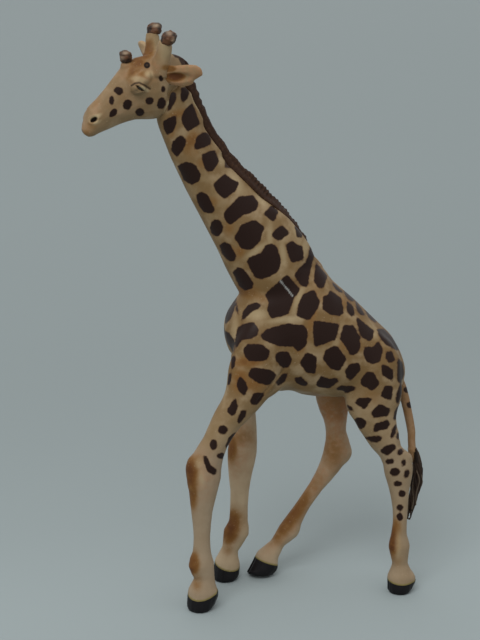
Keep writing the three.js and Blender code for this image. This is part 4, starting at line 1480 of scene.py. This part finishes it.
def in_tuft(x, y):
    """The place in mm of a pixel of the tuft, as deep as the middle of the CAD piece."""
    base = np.column_stack([np.interp(y, tuft_px[:, 1], tuft_line[:, k]) for k in range(3)])
    return base + np.outer((x - np.interp(y, tuft_px[:, 1], tuft_px[:, 0])) / PX_PER_MM, RIGHT)


# The tail's end runs on into the tuft: its line in px and its radii in mm.
TAIL_END = [(411.9, 436), (412.2, 444), (412.2, 451), (411.9, 457), (411.6, 463)]
TAIL_END_RADII = [1.3, 1.5, 1.4, 1.1, 0.5]
TAIL_GROW = 0.15
tail_end = strand(in_tuft(*np.transpose(TAIL_END)), TAIL_END_RADII)
tail = remeshed(*joined(node_mesh(["tail"], TAIL_GROW), tail_end), voxel=0.2)
tail.smooth(12)
tail.p -= tail.normals() * TAIL_GROW
nudge(tail, TAIL_NUDGES, 1)
dress("tail_skin", "tail", "coat", tail.solid(), {
    "patch": tail.blurred(patch_distance(pixels(tail.p), [TAIL_PATCHES]), 1),
    "wash": np.full(len(tail.p), 0.44),
    "blush": np.full(len(tail.p), 0.3),
    "leg": np.full(len(tail.p), 0.9),
})

# The tuft's left and right edge in px, down its length.
TUFT_EDGES = np.array([
    (445.5, 414.4, 415.8), (452, 413.8, 418.6), (460, 413.2, 420.8), (471, 412.2, 423.4), (480, 411.4, 422.4),
    (489, 410.4, 419.8), (498, 408.6, 417.2), (507, 407.2, 415.2), (514, 407.2, 412.4), (519.5, 408.0, 410.4),
])
TUFT_TOP, TUFT_END = TUFT_EDGES[[0, -1], 0]
STRANDS = 15
STRAND_STEPS = 60
LEAST_RADIUS = 0.1
TUFT_VOXEL = 0.14
# A curl at the tuft's end and a lock of hair that lies on the tail above it, in px, and their radii in mm.
CURL = [(409, 503), (407, 509), (406.4, 514), (407.4, 518.4), (409.6, 519.2), (411.2, 516.5), (411.4, 512)]
CURL_RADII = [0.4, 0.38, 0.34, 0.3, 0.28, 0.25, 0.15]
LOCK = [(415.0, 446), (415.2, 450), (415.5, 455), (416.2, 461)]
LOCK_RADII = [0.2, 0.45, 0.62, 0.6]
LOCK_OUT = 0.9


def tuft_strand(turn, share, thin, start, end, wave):
    """Line and radii of one strand that winds round the tuft's middle."""
    t = np.linspace(start, end, STRAND_STEPS)
    y = TUFT_TOP + t * (TUFT_END - TUFT_TOP)
    left, right = (np.interp(y, TUFT_EDGES[:, 0], TUFT_EDGES[:, k]) for k in (1, 2))
    half = (right - left) / 2
    angle = turn + 2.6 * t
    waves = wave * half * 0.12 * np.sin(17 * t + 5 * turn)
    places = in_tuft((left + right) / 2 + share * half * np.sin(angle) + waves, y)
    places += np.outer(share * half / PX_PER_MM * np.cos(angle), (0, -1.0, 0))
    taper = np.clip(np.minimum((t - start) * 8 + 0.35, (end - t) * 6 + 0.12), 0, 1)
    return places, np.maximum(thin * half / PX_PER_MM * taper, LEAST_RADIUS)


def finer(places):
    """The same line with three times as many points."""
    t = np.linspace(0, len(places) - 1, 3 * len(places))
    return np.column_stack([np.interp(t, np.arange(len(places)), places[:, k]) for k in range(3)])


def strand_reach(points, strands):
    """Distance in mm to the nearest of some strands."""
    return np.min([
        np.linalg.norm(points[:, None, :] - finer(line)[None], axis=2).min(1)
        for line, radii in strands
    ], axis=0)


thick = [
    tuft_strand(k * 2 * math.pi / STRANDS, 0.8, 0.2, 0.0, 0.9 + 0.1 * (k % 4) / 3, 0.6 + 0.5 * (k % 3))
    for k in range(STRANDS)
]
pale = [tuft_strand(1.1 + k, 0.97, 0.07, 0.08 + 0.06 * k, 0.96 - 0.04 * k, 1.8) for k in range(6)]
core = tuft_strand(0, 0.0, 0.66, 0.02, 0.9, 0)
curl = (in_tuft(*np.transpose(CURL)), CURL_RADII)
lock = (in_tuft(*np.transpose(LOCK)) - (0, LOCK_OUT, 0), LOCK_RADII)
tuft = remeshed(*joined(*(strand(*s) for s in (core, curl, lock, *thick, *pale))), TUFT_VOXEL)
ridge = smoothstep(0.45, 0.2, strand_reach(tuft.p, thick))
tuft_pale = 0.55 * smoothstep(0.3, 0.12, strand_reach(tuft.p, pale))
dress("tail_tuft_hair", "tail_tuft", "hair", tuft.solid(), {
    "pale": tuft_pale + 0.1 * ridge,
    "dark": 0.85 * (1 - ridge) * (1 - tuft_pale) + 0.45 * ridge,
})

# Floor, which runs from paler to darker and back, by its y in m: painted shade
FLOOR_SIZE = 6
FLOOR_SHADE = [(0.0, 1.03), (0.06, 0.94), (0.17, 0.86), (0.3, 0.87), (0.6, 0.955), (1.0, 1.0), (1.7, 1.09)]
FLOOR_COLOUR = (0.315, 0.367, 0.372)
FLOOR_END = FLOOR_SHADE[-1][0]
floor_look = Material("floor", (*FLOOR_COLOUR, 1), roughness=0.8, specular=0.2)
floor_y = floor_look.add("ShaderNodeSeparateXYZ", {0: floor_look.place}, "Y")
floor_colour = floor_look.add("ShaderNodeValToRGB", {0: floor_look.math("DIVIDE", floor_y, FLOOR_END)})
floor_ramp = floor_colour.node.color_ramp
floor_ramp.interpolation = "B_SPLINE"
stops = floor_ramp.elements
while len(stops) < len(FLOOR_SHADE):
    stops.new(0.5)
for stop, (y, share) in zip(stops, FLOOR_SHADE):
    stop.position = y / FLOOR_END
for stop, (y, share) in zip(stops, FLOOR_SHADE):
    stop.color = (*(v * share for v in FLOOR_COLOUR), 1)
put(floor_look.inputs["Base Color"], floor_colour)
bpy.ops.mesh.primitive_plane_add(size=FLOOR_SIZE)
floor = bpy.context.object
floor.name = "floor"
floor.data.materials.append(floor_look.data)
floor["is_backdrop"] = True

# World light, with a plain backdrop where the camera looks past the floor
WORLD_LIGHT = 0.72
BACKDROP = linear(145, 156, 157)
world = bpy.data.worlds.new("world")
bpy.context.scene.world = world
world.use_nodes = True
background = world.node_tree.nodes["Background"]
background.inputs["Strength"].default_value = WORLD_LIGHT
put(background.inputs["Color"], add_node(world.node_tree, "ShaderNodeMix", {
    0: add_node(world.node_tree, "ShaderNodeLightPath", {}, "Is Camera Ray"),
    6: (1, 1, 1, 1),
    7: (*(v / WORLD_LIGHT for v in BACKDROP[:3]), 1),
}, 2, data_type="RGBA"))

# Lamp, a soft disk above the left front
LAMP_PLACE = (-0.5, -0.7, 1.3)
LAMP_AIM = (0, 0, 0.1)
LAMP_SIZE = 0.9
LAMP_POWER = 9
lamp_data = bpy.data.lights.new("lamp_main", "AREA")
lamp_data.shape = "DISK"
lamp_data.size = LAMP_SIZE
lamp_data.energy = LAMP_POWER
lamp = bpy.data.objects.new("lamp_main", lamp_data)
lamp.location = LAMP_PLACE
lamp.rotation_euler = (Vector(LAMP_AIM) - Vector(LAMP_PLACE)).to_track_quat("-Z", "Y").to_euler()
bpy.context.scene.collection.objects.link(lamp)

bpy.context.scene.view_settings.view_transform = "Standard"
low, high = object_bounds()
{"cad": [list(c) for c in cad_box], "visual": [list(low), list(high)]}
